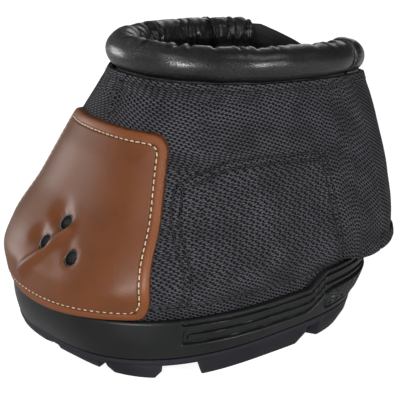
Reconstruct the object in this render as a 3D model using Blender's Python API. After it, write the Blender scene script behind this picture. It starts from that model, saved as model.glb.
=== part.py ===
# Horse hoof boot: lugged rubber sole, moulded side wall, woven upper with a toe patch,
# padded roll collar and a wrap-over heel closure. Toe towards -X, heel towards +X,
# the photographed side towards -Y, ground at Z = 0. Metres.

import math

import bpy
import bmesh
from mathutils import Vector

# Sole: reach of the side wall's lip from the origin, and its heights
SOLE_TOE = 0.0845
SOLE_HEEL = 0.086
SOLE_HALF_WIDTH = 0.07
LIP_HEIGHT = 0.0275
HEEL_RIM_RISE = 0.0065
STEP_START = 0.02
STEP_LENGTH = 0.015
PARTING_TOE_HEIGHT = 0.0085
PARTING_HEEL_HEIGHT = 0.0125
FLOOR_HEIGHT = 0.017
GROOVE_DEPTH = 0.0017
CHANNEL_START = -0.049
GRIP_START = 0.038
GRIP_PITCH = 0.005
GRIP_WIDTH = 0.0026
GRIP_COUNT = 5
WALL_RAMP = 0.0009

# Tread
TREAD_TOE = 0.0799
TREAD_HEEL = 0.0757
TREAD_HALF_WIDTH = 0.0686
TOE_DRAFT = 0.0069
HEEL_DRAFT = 0.0077
SIDE_DRAFT = 0.0026
PLATE_THICKNESS = 0.0035
LUG_DEPTH = 0.019
LUG_SINK = 0.0012
LUG_SLANT = 0.003
PAD_RADIUS = 0.015
BLOCK_LENGTH = 0.015
BLOCK_WIDTH = 0.009
BLOCK_RING_RADIUS = 0.031
BLOCK_COUNT = 6

# Upper: heights of its top edge, layers and gaps
UPPER_TOE_HEIGHT = 0.126
UPPER_HEEL_HEIGHT = 0.111
SHELL_THICKNESS = 0.0016
STIFFENER_THICKNESS = 0.0012
LINING_THICKNESS = 0.003
BOARD_THICKNESS = 0.002
LASTING_MARGIN = 0.014
SEAT_GAP = 0.0003
POCKET_GAP = 0.0006
HINGE_X = 0.073
STIFFENER_START = -0.047
STIFFENER_SLANT = 0.01
STIFFENER_END = 0.044
CUP_CLEARANCE = 0.0007

# Toe patch and its vents
PATCH_THICKNESS = 0.0022
PATCH_TOP_HALF_GIRTH = 0.037
PATCH_FOOT_HALF_GIRTH = 0.0615
PATCH_SIDE_BOW = 0.005
PATCH_TOP_HEIGHT = 0.105
PATCH_CORNER = 0.009
VENT_RADIUS = 0.004
VENT_TOP_GIRTH = 0.003
VENT_TOP_HEIGHT = 0.062
VENT_NEAR_GIRTH = 0.0175
VENT_NEAR_HEIGHT = 0.051
VENT_FAR_GIRTH = -0.0035
VENT_FAR_HEIGHT = 0.0525
EYELET_WALL = 0.0006
EYELET_FLANGE = 0.0016
EYELET_INSET = 0.0007

# Collar roll
COLLAR_TOE = 0.0275
COLLAR_HEEL = 0.093
COLLAR_HALF_WIDTH = 0.0395
COLLAR_WIDEST = 0.033
COLLAR_RADIUS = 0.0083
COVER_THICKNESS = 0.0012
COLLAR_FAR_SEAM_X = 0.046
COLLAR_FAR_END_X = 0.0705
PIPING_WIDTH = 0.0016
PIPING_RISE = 0.0007
COLLAR_TUCK = 0.0009
COLLAR_FLAP_LENGTH = 0.026
COLLAR_FLAP_FALL = 0.0035

# Heel closure
FLAP_FOOT_HEIGHT = 0.0325
FLAP_LINING_THICKNESS = 0.002
PAD_THICKNESS = 0.001
INNER_FLAP_THICKNESS = 0.0035
FLAP_LIFT = 0.005
HEM_THICKNESS = 0.0009
HEM_WIDTH = 0.006
HINGE_GAP = 0.0008
INNER_FLAP_RISE = 0.013

CUT_OVERRUN = 0.006

# Levels of the upper's outer face. Height is a share of the way from the lip to the top
# edge; toe, heel, half width and widest point are shares of the sole's own; the last two
# say how square the toe and the heel of the outline are.
upperLevelShares = [
    (0.000, 0.955, 0.930, 0.936, 0.035, 2.40, 3.20),
    (0.066, 0.985, 0.960, 0.945, 0.035, 2.60, 3.20),
    (0.127, 0.980, 1.060, 0.970, 0.060, 2.75, 3.20),
    (0.225, 0.925, 1.209, 0.993, 0.090, 2.80, 3.30),
    (0.450, 0.735, 1.209, 0.900, 0.151, 2.75, 3.30),
    (0.735, 0.556, 1.186, 0.771, 0.256, 2.50, 3.00),
    (1.000, 0.402, 1.140, 0.621, 0.360, 2.20, 2.80),
]
# Rows that every layer of the upper shares, so that the layers stay parallel
upperRowShares = [0.0, 0.066, 0.127, 0.225, 0.34, 0.45, 0.56, 0.66, 0.77, 0.88, 1.0]
stiffenerTopShare = 0.66
padFootShare = 0.34
padTopShare = 0.77
flapRingShare = 0.225
patchCornerShares = [0.0, 0.06, 0.25, 0.55, 1.0]
patchBowPower = 0.6
quarterColumns = 18
closureColumns = 21
floorRingShares = (0.900, 0.900, 0.890, 0.035, 2.35, 3.20)

# Side wall profile: share of the wall's height, share of the groove depth there for the
# toe and heel, and share inside the quarter's channel.
wallProfileShares = [
    (0.00, 0.5, 0.5),
    (0.06, 0.0, 0.0),
    (0.27, 0.0, 0.0),
    (0.32, 0.0, 1.0),
    (0.41, 0.0, 1.0),
    (0.45, 0.0, 0.2),
    (0.56, 0.0, 0.2),
    (0.60, 0.0, 1.0),
    (0.68, 0.0, 1.0),
    (0.72, 0.0, 0.2),
    (0.82, 0.0, 0.2),
    (0.86, 0.0, 1.0),
    (0.91, 0.0, 1.0),
    (0.95, 0.0, 0.0),
]
gripLowShare = 0.25
gripHighShare = 0.62
rimGrooveLowShare = 0.80

# Perimeter lugs as shares of the half outline from toe to heel, same on both sides
lugSpanShares = [(0.02, 0.135), (0.147, 0.258), (0.325, 0.588), (0.625, 0.950)]

# Where the heel pieces end, as shares of the way round the heel from the near hinge
# line to the far one
outerFlapEndShare = 0.90
innerFlapEndShare = 0.24
padSpanShares = (0.40, 0.82)
flapTopFallShare = 0.11
innerTopFallShare = 0.14


class Ring:
    """One level outline: a superellipse with its own toe and heel, read by arc length."""

    steps = 96

    def __init__(self, toe, heel, halfWidth, widest, toeSquare, heelSquare):
        self.shape = (toe, heel, halfWidth, widest, toeSquare, heelSquare)
        self.points = []
        self.lengths = [0.0]
        for index in range(self.steps + 1):
            angle = math.pi * index / self.steps
            c = math.cos(angle)
            s = math.sin(angle)
            square = toeSquare if c > 0 else heelSquare
            reach = widest + toe if c > 0 else heel - widest
            x = widest - math.copysign(reach * abs(c) ** (2 / square), c)
            y = halfWidth * abs(s) ** (2 / square)
            self.points.append((x, y))
            if index:
                before = self.points[index - 1]
                step = math.hypot(x - before[0], y - before[1])
                self.lengths.append(self.lengths[-1] + step)
        self.girth = self.lengths[-1]

    def inset(self, depth):
        toe, heel, halfWidth, widest, toeSquare, heelSquare = self.shape
        return Ring(toe - depth, heel - depth, halfWidth - depth, widest, toeSquare, heelSquare)

    def at(self, share):
        """Point at a share of the way from toe (0) to heel (1), past the heel up to 2."""
        side = -1.0
        if share > 1:
            share = 2 - share
            side = 1.0
        if share < 0:
            share = -share
            side = 1.0
        target = share * self.girth
        low = 0
        high = len(self.lengths) - 1
        while high - low > 1:
            middle = (low + high) // 2
            if self.lengths[middle] <= target:
                low = middle
            else:
                high = middle
        span = self.lengths[high] - self.lengths[low]
        mix = (target - self.lengths[low]) / span if span else 0.0
        x = self.points[low][0] + (self.points[high][0] - self.points[low][0]) * mix
        y = self.points[low][1] + (self.points[high][1] - self.points[low][1]) * mix
        return x, side * y

    def shareAtX(self, x):
        """Share of the way from toe to heel at which the outline reaches this x."""
        for index in range(1, len(self.points)):
            if self.points[index][0] >= x:
                before = self.points[index - 1][0]
                after = self.points[index][0]
                mix = (x - before) / (after - before)
                span = self.lengths[index] - self.lengths[index - 1]
                return (self.lengths[index - 1] + span * mix) / self.girth
        return 1.0


def blend(a, b, mix):
    return a + (b - a) * mix


def smooth(value):
    value = min(1.0, max(0.0, value))
    return value * value * (3 - 2 * value)


def spread(start, end, count):
    return [blend(start, end, index / (count - 1)) for index in range(count)]


TOP_SLOPE = (UPPER_TOE_HEIGHT - UPPER_HEEL_HEIGHT) / (SOLE_TOE + SOLE_HEEL)


def topHeight(x):
    """Height of the upper's top edge, which falls towards the heel."""
    toe = -SOLE_TOE * upperLevelShares[-1][1]
    return UPPER_TOE_HEIGHT - (x - toe) * TOP_SLOPE


def levelHeight(level, x):
    return blend(LIP_HEIGHT, topHeight(x), level)


def partingHeight(x):
    mix = (x + SOLE_TOE) / (SOLE_TOE + SOLE_HEEL)
    return blend(PARTING_TOE_HEIGHT, PARTING_HEEL_HEIGHT, mix)


def rimHeight(x):
    """Top of the side wall: the lip, then an S step up to the heel rim."""
    return LIP_HEIGHT + HEEL_RIM_RISE * smooth((x - STEP_START) / STEP_LENGTH)


def ringFromShares(shares, depth):
    toe, heel, width, widest, toeSquare, heelSquare = shares
    return Ring(SOLE_TOE * toe - depth, SOLE_HEEL * heel - depth, SOLE_HALF_WIDTH * width - depth,
                SOLE_HEEL * widest, toeSquare, heelSquare)


def curveThrough(values, positions, where):
    """Monotone smooth curve through a few values."""
    last = len(positions) - 1
    index = 0
    while index < last - 1 and where > positions[index + 1]:
        index += 1
    gaps = [positions[i + 1] - positions[i] for i in range(last)]
    slopes = [(values[i + 1] - values[i]) / gaps[i] for i in range(last)]

    def tangent(i):
        if i == 0:
            return slopes[0]
        if i == last:
            return slopes[-1]
        if slopes[i - 1] * slopes[i] <= 0:
            return 0.0
        return 2 * slopes[i - 1] * slopes[i] / (slopes[i - 1] + slopes[i])

    t = (where - positions[index]) / gaps[index]
    t = min(1.0, max(0.0, t))
    a = values[index]
    b = values[index + 1]
    m0 = tangent(index) * gaps[index]
    m1 = tangent(index + 1) * gaps[index]
    return ((2 * t ** 3 - 3 * t ** 2 + 1) * a + (t ** 3 - 2 * t ** 2 + t) * m0
            + (3 * t ** 2 - 2 * t ** 3) * b + (t ** 3 - t ** 2) * m1)


def upperRing(level, depth):
    """Outline of the upper's outer face at a level, inset by a depth."""
    positions = [row[0] for row in upperLevelShares]
    shares = [curveThrough([row[k] for row in upperLevelShares], positions, level)
              for k in range(1, 7)]
    return ringFromShares(shares, depth)


def partingRing(depth):
    """Outline where the side wall meets the tread."""
    return Ring(TREAD_TOE - depth, TREAD_HEEL - depth, TREAD_HALF_WIDTH - depth,
                SOLE_HEEL * floorRingShares[3], 2.6, 3.1)


def groundRing():
    """Outline of the lugs' feet, drawn in from the parting line."""
    return Ring(TREAD_TOE - TOE_DRAFT, TREAD_HEEL - HEEL_DRAFT, TREAD_HALF_WIDTH - SIDE_DRAFT,
                0, 3.2, 3.2)


def floorRing(depth):
    return ringFromShares(floorRingShares, depth)


def makeObject(name, points, faces, colour, roughness, metallic=0.0):
    mesh = bpy.data.meshes.new(name)
    mesh.from_pydata([tuple(p) for p in points], [], faces)
    mesh.update()
    shell = bmesh.new()
    shell.from_mesh(mesh)
    bmesh.ops.recalc_face_normals(shell, faces=shell.faces)
    shell.to_mesh(mesh)
    shell.free()
    mesh.shade_smooth()
    mesh.set_sharp_from_angle(angle=math.radians(40))
    thing = bpy.data.objects.new(name, mesh)
    bpy.context.scene.collection.objects.link(thing)
    material = bpy.data.materials.new(name)
    material.use_nodes = True
    shader = material.node_tree.nodes["Principled BSDF"]
    shader.inputs["Base Color"].default_value = (*colour, 1.0)
    shader.inputs["Roughness"].default_value = roughness
    shader.inputs["Metallic"].default_value = metallic
    mesh.materials.append(material)
    return thing


def loftFaces(rings, closedAcross, closedAlong):
    """Quads between rows of points; each row is a ring or an open strip."""
    rowCount = len(rings)
    colCount = len(rings[0])
    faces = []
    rowSteps = rowCount if closedAlong else rowCount - 1
    colSteps = colCount if closedAcross else colCount - 1
    for r in range(rowSteps):
        for c in range(colSteps):
            a = r * colCount + c
            b = r * colCount + (c + 1) % colCount
            d = ((r + 1) % rowCount) * colCount + c
            e = ((r + 1) % rowCount) * colCount + (c + 1) % colCount
            faces.append((a, b, e, d))
    return faces


def panel(name, sections, colour, roughness):
    """Closed solid through a row of closed sections, with flat ends."""
    points = [p for section in sections for p in section]
    count = len(sections[0])
    faces = loftFaces(sections, True, False)
    last = len(points) - count
    half = count // 2
    for start in (0, last):
        for k in range(half - 1):
            faces.append((start + k, start + k + 1, start + count - 2 - k, start + count - 1 - k))
    return makeObject(name, points, faces, colour, roughness)


def cut(thing, cutter):
    cutter.hide_render = True
    cutter.display_type = "WIRE"
    modifier = thing.modifiers.new("cut", "BOOLEAN")
    modifier.operation = "DIFFERENCE"
    modifier.solver = "EXACT"
    modifier.object = cutter


RUBBER = (0.028, 0.029, 0.033)
TREAD_RUBBER = (0.030, 0.028, 0.036)
NYLON = (0.022, 0.022, 0.025)
LEATHER = (0.33, 0.14, 0.06)
PU_LEATHER = (0.012, 0.012, 0.013)
SOFT_BLACK = (0.018, 0.018, 0.019)
FOAM = (0.25, 0.25, 0.24)
BOARD = (0.35, 0.30, 0.24)
BLACK_METAL = (0.03, 0.03, 0.03)


def wallColumns():
    """Places round the side wall as x on one side, close together where ribs begin."""
    places = spread(-SOLE_TOE, SOLE_HEEL, 25)
    marks = [CHANNEL_START, CHANNEL_START + WALL_RAMP]
    for index in range(GRIP_COUNT):
        start = GRIP_START + index * GRIP_PITCH
        marks += [start, start + WALL_RAMP, start + GRIP_WIDTH - WALL_RAMP, start + GRIP_WIDTH]
    for share in (0.0, 0.25, 0.5, 0.75, 1.0):
        marks.append(STEP_START + STEP_LENGTH * share)
    return places, marks


def wallShares():
    """Shares of the lip's half outline at which the side wall has a column."""
    lip = Ring(SOLE_TOE, SOLE_HEEL, SOLE_HALF_WIDTH, 0.035 * SOLE_HEEL, 2.35, 3.2)
    marks = [lip.shareAtX(x) for x in wallColumns()[1]]
    clear = 2.5 * WALL_RAMP / lip.girth
    shares = [k / 26 for k in range(27)]
    shares = [s for s in shares if s in (0.0, 1.0) or min(abs(s - m) for m in marks) > clear]
    return lip, sorted(shares + marks)


def gripDepth(x):
    """How deep the heel's upright grip slots are at this x, from 0 to 1."""
    for index in range(GRIP_COUNT):
        start = GRIP_START + index * GRIP_PITCH
        if start <= x <= start + GRIP_WIDTH:
            edge = min(x - start, start + GRIP_WIDTH - x)
            return min(1.0, edge / WALL_RAMP)
    return 0.0


def buildSoleCup():
    """Side wall with floor: outer profile rows, a rounded lip, then the hollow."""
    lip, halfShares = wallShares()
    shares = halfShares + [2 - s for s in reversed(halfShares[1:-1])]
    parting = partingRing(0)
    rows = []
    for height, plain, channel in wallProfileShares:
        row = []
        for share in shares:
            xLip, yLip = lip.at(share)
            xLow, yLow = parting.at(share)
            flare = math.sin(0.5 * math.pi * min(1.0, height * 1.25))
            x = blend(xLow, xLip, flare)
            y = blend(yLow, yLip, flare)
            inChannel = smooth((xLip - CHANNEL_START) / WALL_RAMP)
            lowChannel = inChannel * (1 - smooth((xLip - STEP_START) / STEP_LENGTH))
            inside = inChannel if height > rimGrooveLowShare else lowChannel
            depth = blend(plain, channel, inside)
            if gripLowShare < height < gripHighShare:
                depth = max(depth, gripDepth(xLip))
            reach = math.hypot(x, y)
            scale = 1 - depth * GROOVE_DEPTH / reach
            z = blend(partingHeight(xLip), rimHeight(xLip), height)
            row.append(Vector((x * scale, y * scale, z)))
        rows.append(row)
    wall = upperRing(0, -CUP_CLEARANCE)
    rimRing = upperRing(upperLevelShares[1][0], -CUP_CLEARANCE)
    base = floorRing(-CUP_CLEARANCE)
    topOuter = []
    topInner = []
    lipInner = []
    seat = []
    floorEdge = []
    for share in shares:
        xLip, yLip = lip.at(share)
        z = rimHeight(xLip)
        rise = (z - LIP_HEIGHT) / HEEL_RIM_RISE
        xIn, yIn = blendPoint(wall.at(share), rimRing.at(share), rise)
        topOuter.append(Vector((*blendPoint((xLip, yLip), (xIn, yIn), 0.25), z)))
        topInner.append(Vector((*blendPoint((xLip, yLip), (xIn, yIn), 0.85), z)))
        lipInner.append(Vector((xIn, yIn, z - WALL_RAMP)))
        seatHeight = blend(LIP_HEIGHT - 2 * WALL_RAMP, LIP_HEIGHT, rise)
        seatMix = (seatHeight - FLOOR_HEIGHT) / (LIP_HEIGHT - FLOOR_HEIGHT)
        seat.append(Vector((*blendPoint(base.at(share), wall.at(share), seatMix), seatHeight)))
        floorEdge.append(Vector((*base.at(share), FLOOR_HEIGHT)))
    rows += [topOuter, topInner, lipInner, seat, floorEdge]
    points = [p for row in rows for p in row]
    faces = loftFaces(rows, True, False)
    count = len(shares)
    faces.append(tuple(range(count)))
    faces.append(tuple(range(len(points) - count, len(points))))
    return makeObject("sole_cup", points, faces, RUBBER, 0.42)


def lugSolid(startShare, endShare):
    """One perimeter lug: a block between two places on the outline, drawn in at its ends."""
    steps = max(3, round((endShare - startShare) * 24))
    low = groundRing()
    high = partingRing(1.5 * SEAT_GAP)
    slant = LUG_SLANT / low.girth
    sections = []
    lowSpan = spread(startShare + slant, endShare - slant, steps)
    highSpan = spread(startShare, endShare, steps)
    inner = low.inset(LUG_DEPTH)
    innerHigh = high.inset(LUG_DEPTH + LUG_SLANT)
    for a, b in zip(lowSpan, highSpan):
        top = partingHeight(high.at(b)[0]) - PLATE_THICKNESS + LUG_SINK
        sections.append([
            Vector((*low.at(a), 0)),
            Vector((*blendPoint(low.at(a), high.at(b), 0.75), top * 0.55)),
            Vector((*high.at(b), top)),
            Vector((*innerHigh.at(b), top)),
            Vector((*blendPoint(inner.at(a), innerHigh.at(b), 0.5), top * 0.55)),
            Vector((*inner.at(a), 0)),
        ])
    return sections


def blendPoint(a, b, mix):
    return blend(a[0], b[0], mix), blend(a[1], b[1], mix)


def prism(name, outline, low, high, taper):
    """Upright prism on a flat outline, narrowed at its foot by a taper."""
    count = len(outline)
    middleX = sum(p[0] for p in outline) / count
    middleY = sum(p[1] for p in outline) / count
    points = []
    for x, y in outline:
        reach = math.hypot(x - middleX, y - middleY)
        scale = 1 - taper / reach
        points.append(Vector((middleX + (x - middleX) * scale, middleY + (y - middleY) * scale, low)))
    for x, y in outline:
        points.append(Vector((x, y, high)))
    faces = loftFaces([points[:count], points[count:]], True, False)
    faces.append(tuple(range(count)))
    faces.append(tuple(range(count, 2 * count)))
    return makeObject(name, points, faces, TREAD_RUBBER, 0.6)


def buildTread():
    """Sole plate under the cup, joined with its perimeter lugs and centre blocks."""
    shares = [k / 26 for k in range(27)]
    shares = shares + [2 - s for s in reversed(shares[1:-1])]
    ring = partingRing(SEAT_GAP)
    edge = ring.inset(PLATE_THICKNESS / 2)
    rows = [[], [], []]
    for share in shares:
        x, y = ring.at(share)
        xe, ye = edge.at(share)
        top = partingHeight(x) - SEAT_GAP
        rows[0].append(Vector((xe, ye, top - PLATE_THICKNESS)))
        rows[1].append(Vector((x, y, top - PLATE_THICKNESS / 2)))
        rows[2].append(Vector((x, y, top)))
    points = [p for row in rows for p in row]
    faces = loftFaces(rows, True, False)
    count = len(shares)
    faces.append(tuple(range(count)))
    faces.append(tuple(range(2 * count, 3 * count)))
    tread = makeObject("tread_outsole", points, faces, TREAD_RUBBER, 0.6)
    tread.data.shade_flat()
    blocks = []
    for side in (0, 1):
        for start, end in lugSpanShares:
            span = (start, end) if side == 0 else (2 - end, 2 - start)
            blocks.append(panel("lug", lugSolid(*span), TREAD_RUBBER, 0.6))
    pad = [(PAD_RADIUS * math.cos(math.pi * k / 3), PAD_RADIUS * math.sin(math.pi * k / 3))
           for k in range(6)]
    top = partingHeight(0) - PLATE_THICKNESS + LUG_SINK
    blocks.append(prism("lug", pad, 0, top, LUG_SLANT / 2))
    for index in range(BLOCK_COUNT):
        angle = 2 * math.pi * (index + 0.5) / BLOCK_COUNT
        outline = []
        for u, v in ((-0.5, -0.5), (0.5, -0.5), (0.5, 0.5), (-0.5, 0.5)):
            along = BLOCK_RING_RADIUS + u * BLOCK_WIDTH
            across = v * BLOCK_LENGTH
            outline.append((along * math.cos(angle) - across * math.sin(angle),
                            along * math.sin(angle) + across * math.cos(angle)))
        middle = BLOCK_RING_RADIUS * math.cos(angle)
        top = partingHeight(middle) - PLATE_THICKNESS + LUG_SINK
        blocks.append(prism("lug", outline, 0, top, LUG_SLANT / 3))
    for block in blocks:
        block.data.shade_flat()
        block.hide_render = True
        block.display_type = "WIRE"
        modifier = tread.modifiers.new("join", "BOOLEAN")
        modifier.operation = "UNION"
        modifier.solver = "EXACT"
        modifier.object = block
    return tread


def liningDepth():
    """Depth of the lining's face below the upper's own face."""
    return SHELL_THICKNESS + STIFFENER_THICKNESS + 2 * POCKET_GAP


def buildInsoleBoard():
    """Board inside the lining's foot, on the quarters' turned-in margin."""
    ring = floorRing(liningDepth() + LINING_THICKNESS + 4 * SEAT_GAP)
    shares = [k / 20 for k in range(21)]
    shares = shares + [2 - s for s in reversed(shares[1:-1])]
    low = FLOOR_HEIGHT + SHELL_THICKNESS + 2 * SEAT_GAP
    rows = [[Vector((*ring.at(s), z)) for s in shares] for z in (low, low + BOARD_THICKNESS)]
    points = rows[0] + rows[1]
    faces = loftFaces(rows, True, False)
    count = len(shares)
    faces.append(tuple(range(count)))
    faces.append(tuple(range(count, 2 * count)))
    return makeObject("insole_board", points, faces, BOARD, 0.8)


def sidePoint(ring, share, side, z):
    x, y = ring.at(share)
    return Vector((x, y * side, z))


def upperColumn(side, across, levels, depth, foot):
    """Points up one column of the upper, from its foot on the floor to the last level."""
    base = floorRing(depth)
    share = blend(SEAT_GAP / base.girth, base.shareAtX(HINGE_X), across)
    points = [sidePoint(base, share, side, foot)]
    for level in levels:
        ring = upperRing(level, depth)
        share = blend(SEAT_GAP / ring.girth, ring.shareAtX(HINGE_X), across)
        points.append(sidePoint(ring, share, side, levelHeight(level, ring.at(share)[0])))
    return points


def buildQuarter(name, side):
    """Woven outer panel from the front seam to the hinge line, turned in under the board."""
    foot = FLOOR_HEIGHT + SEAT_GAP
    sections = []
    for across in spread(0, 1, quarterColumns):
        outer = upperColumn(side, across, upperRowShares, 0, foot)
        inner = upperColumn(side, across, upperRowShares, SHELL_THICKNESS, foot + SHELL_THICKNESS)
        turned = floorRing(LASTING_MARGIN)
        share = blend(SEAT_GAP / turned.girth, turned.shareAtX(HINGE_X), across)
        under = sidePoint(turned, share, side, foot)
        over = sidePoint(turned, share, side, foot + SHELL_THICKNESS)
        sections.append([under] + outer + list(reversed(inner)) + [over])
    return panel(name, sections, NYLON, 0.75)


def buildLining(name, side):
    depth = liningDepth()
    foot = FLOOR_HEIGHT + SHELL_THICKNESS + 2 * SEAT_GAP
    sections = []
    for across in spread(0, 1, quarterColumns):
        outer = upperColumn(side, across, upperRowShares, depth, foot)
        inner = upperColumn(side, across, upperRowShares, depth + LINING_THICKNESS, foot)
        sections.append(outer + list(reversed(inner)))
    return panel(name, sections, SOFT_BLACK, 0.9)


def buildStiffener(name, side):
    depth = SHELL_THICKNESS + POCKET_GAP
    sections = []
    for across in spread(0, 1, 13):
        outer = []
        inner = []
        for level in [row for row in upperRowShares if row <= stiffenerTopShare]:
            start = STIFFENER_START + STIFFENER_SLANT * level / stiffenerTopShare
            x = blend(start, STIFFENER_END, across)
            for points, inset in ((outer, depth), (inner, depth + STIFFENER_THICKNESS)):
                ring = upperRing(level, inset)
                share = ring.shareAtX(x)
                points.append(sidePoint(ring, share, side, levelHeight(level, x)))
        sections.append(outer + list(reversed(inner)))
    return panel(name, sections, BOARD, 0.8)


def patchHalfGirth(edge, mix):
    """Half the patch's width along the toe: sides bowed, most below the middle, round corners."""
    plain = blend(PATCH_FOOT_HALF_GIRTH, PATCH_TOP_HALF_GIRTH, mix)
    plain += PATCH_SIDE_BOW * math.sin(math.pi * mix ** patchBowPower)
    if edge >= PATCH_CORNER:
        return plain
    return plain - PATCH_CORNER + math.sqrt(PATCH_CORNER ** 2 - (PATCH_CORNER - edge) ** 2)


def buildToePatch():
    toe = -SOLE_TOE * upperLevelShares[-1][1]
    height = topHeight(toe) - LIP_HEIGHT
    foot = 2 * SEAT_GAP / height
    top = (PATCH_TOP_HEIGHT - LIP_HEIGHT) / height
    corner = [share * PATCH_CORNER / height for share in patchCornerShares]
    levels = [foot + c for c in corner] + [top - c for c in corner]
    levels += [row for row in upperRowShares if foot + corner[-1] < row < top - corner[-1]]
    sections = []
    for level in sorted(levels):
        half = patchHalfGirth(min(level - foot, top - level) * height, (level - foot) / (top - foot))
        outer = []
        inner = []
        for across in spread(-1, 1, 19):
            for points, inset in ((outer, -SEAT_GAP - PATCH_THICKNESS), (inner, -SEAT_GAP)):
                ring = upperRing(level, inset)
                x, y = ring.at(across * half / ring.girth)
                points.append(Vector((x, y, levelHeight(level, x))))
        sections.append(outer + list(reversed(inner)))
    return panel("toe_patch", sections, LEATHER, 0.45)


def upperPointAtHeight(height, girth, inset):
    """Point on the upper at a real height, a girth to the near side of the front seam."""
    x = -SOLE_TOE
    for _ in range(4):
        level = (height - LIP_HEIGHT) / (topHeight(x) - LIP_HEIGHT)
        ring = upperRing(level, inset)
        x, y = ring.at(girth / ring.girth)
    return Vector((x, y, height))


def ventPlaces():
    return [("vent_eyelet_top", VENT_TOP_GIRTH, VENT_TOP_HEIGHT),
            ("vent_eyelet_near", VENT_NEAR_GIRTH, VENT_NEAR_HEIGHT),
            ("vent_eyelet_far", VENT_FAR_GIRTH, VENT_FAR_HEIGHT)]


def ventFrame(girth, height):
    """Centre and outward direction of a vent on the upper's outer face."""
    step = VENT_RADIUS
    centre = upperPointAtHeight(height, girth, 0)
    along = upperPointAtHeight(height, girth + step, 0) - upperPointAtHeight(height, girth - step, 0)
    up = upperPointAtHeight(height + step, girth, 0) - upperPointAtHeight(height - step, girth, 0)
    outward = up.cross(along).normalized()
    if outward.x > 0:
        outward = -outward
    return centre, outward


def turned(name, profile, centre, axis, sides, colour, roughness, metallic=0.0, closed=True):
    """Solid turned about an axis from a profile of (radius, distance along the axis)."""
    turn = axis.to_track_quat("Z", "Y").to_matrix()
    rings = []
    for radius, along in profile:
        ring = []
        for k in range(sides):
            angle = 2 * math.pi * k / sides
            local = Vector((radius * math.cos(angle), radius * math.sin(angle), along))
            ring.append(centre + turn @ local)
        rings.append(ring)
    points = [p for ring in rings for p in ring]
    faces = loftFaces(rings, True, closed)
    if not closed:
        faces.append(tuple(range(sides)))
        faces.append(tuple(range(len(points) - sides, len(points))))
    return makeObject(name, points, faces, colour, roughness, metallic)


def buildVents(patch, layers):
    """Punch the three vents through every layer and set an eyelet in each."""
    depth = liningDepth() + LINING_THICKNESS
    for name, girth, height in ventPlaces():
        centre, outward = ventFrame(girth, height)
        hole = [(VENT_RADIUS + SEAT_GAP, -depth - CUT_OVERRUN), (VENT_RADIUS + SEAT_GAP, CUT_OVERRUN)]
        cutter = turned("vent_cutter", hole, centre, outward, 16, LEATHER, 0.5, closed=False)
        for layer in layers + [patch]:
            cut(layer, cutter)
        face = PATCH_THICKNESS + SEAT_GAP - EYELET_INSET
        back = -depth - 3 * SEAT_GAP
        inner = VENT_RADIUS - EYELET_WALL
        profile = [(inner, face), (VENT_RADIUS, face), (VENT_RADIUS, back),
                   (VENT_RADIUS + EYELET_FLANGE, back), (VENT_RADIUS + EYELET_FLANGE, back - EYELET_WALL),
                   (inner, back - EYELET_WALL)]
        turned(name, profile, centre, outward, 16, BLACK_METAL, 0.35, 0.8)


def collarRing():
    return Ring(COLLAR_TOE, COLLAR_HEEL, COLLAR_HALF_WIDTH, COLLAR_WIDEST, 2.1, 2.5)


def collarFrame(share):
    """Centre, outward and upward directions of the roll at a share from toe to heel."""
    ring = collarRing()
    nudge = 0.01
    x, y = ring.at(share)
    ax, ay = ring.at(share - nudge)
    bx, by = ring.at(share + nudge)
    along = Vector((bx - ax, by - ay, -(bx - ax) * TOP_SLOPE)).normalized()
    up = Vector((TOP_SLOPE, 0, 1)).normalized()
    outward = along.cross(up).normalized()
    past = (share - ring.shareAtX(HINGE_X)) * ring.girth / COLLAR_FLAP_LENGTH
    z = topHeight(x) + COLLAR_RADIUS + SEAT_GAP - COLLAR_FLAP_FALL * smooth(past)
    return Vector((x, y, z)), outward, up


def rollRing(share, radius, sides):
    centre, outward, up = collarFrame(share)
    ring = []
    for k in range(sides):
        angle = 2 * math.pi * k / sides
        ring.append(centre + outward * radius * math.cos(angle) + up * radius * math.sin(angle))
    return ring


def rollRadius(share, start, end, fullRadius):
    """The roll is drawn in a little where it meets a seam."""
    girth = collarRing().girth
    nearest = min(abs(share - start), abs(end - share)) * girth
    tuck = COLLAR_TUCK * (1 - smooth(nearest / COLLAR_RADIUS))
    return fullRadius - tuck


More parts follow.
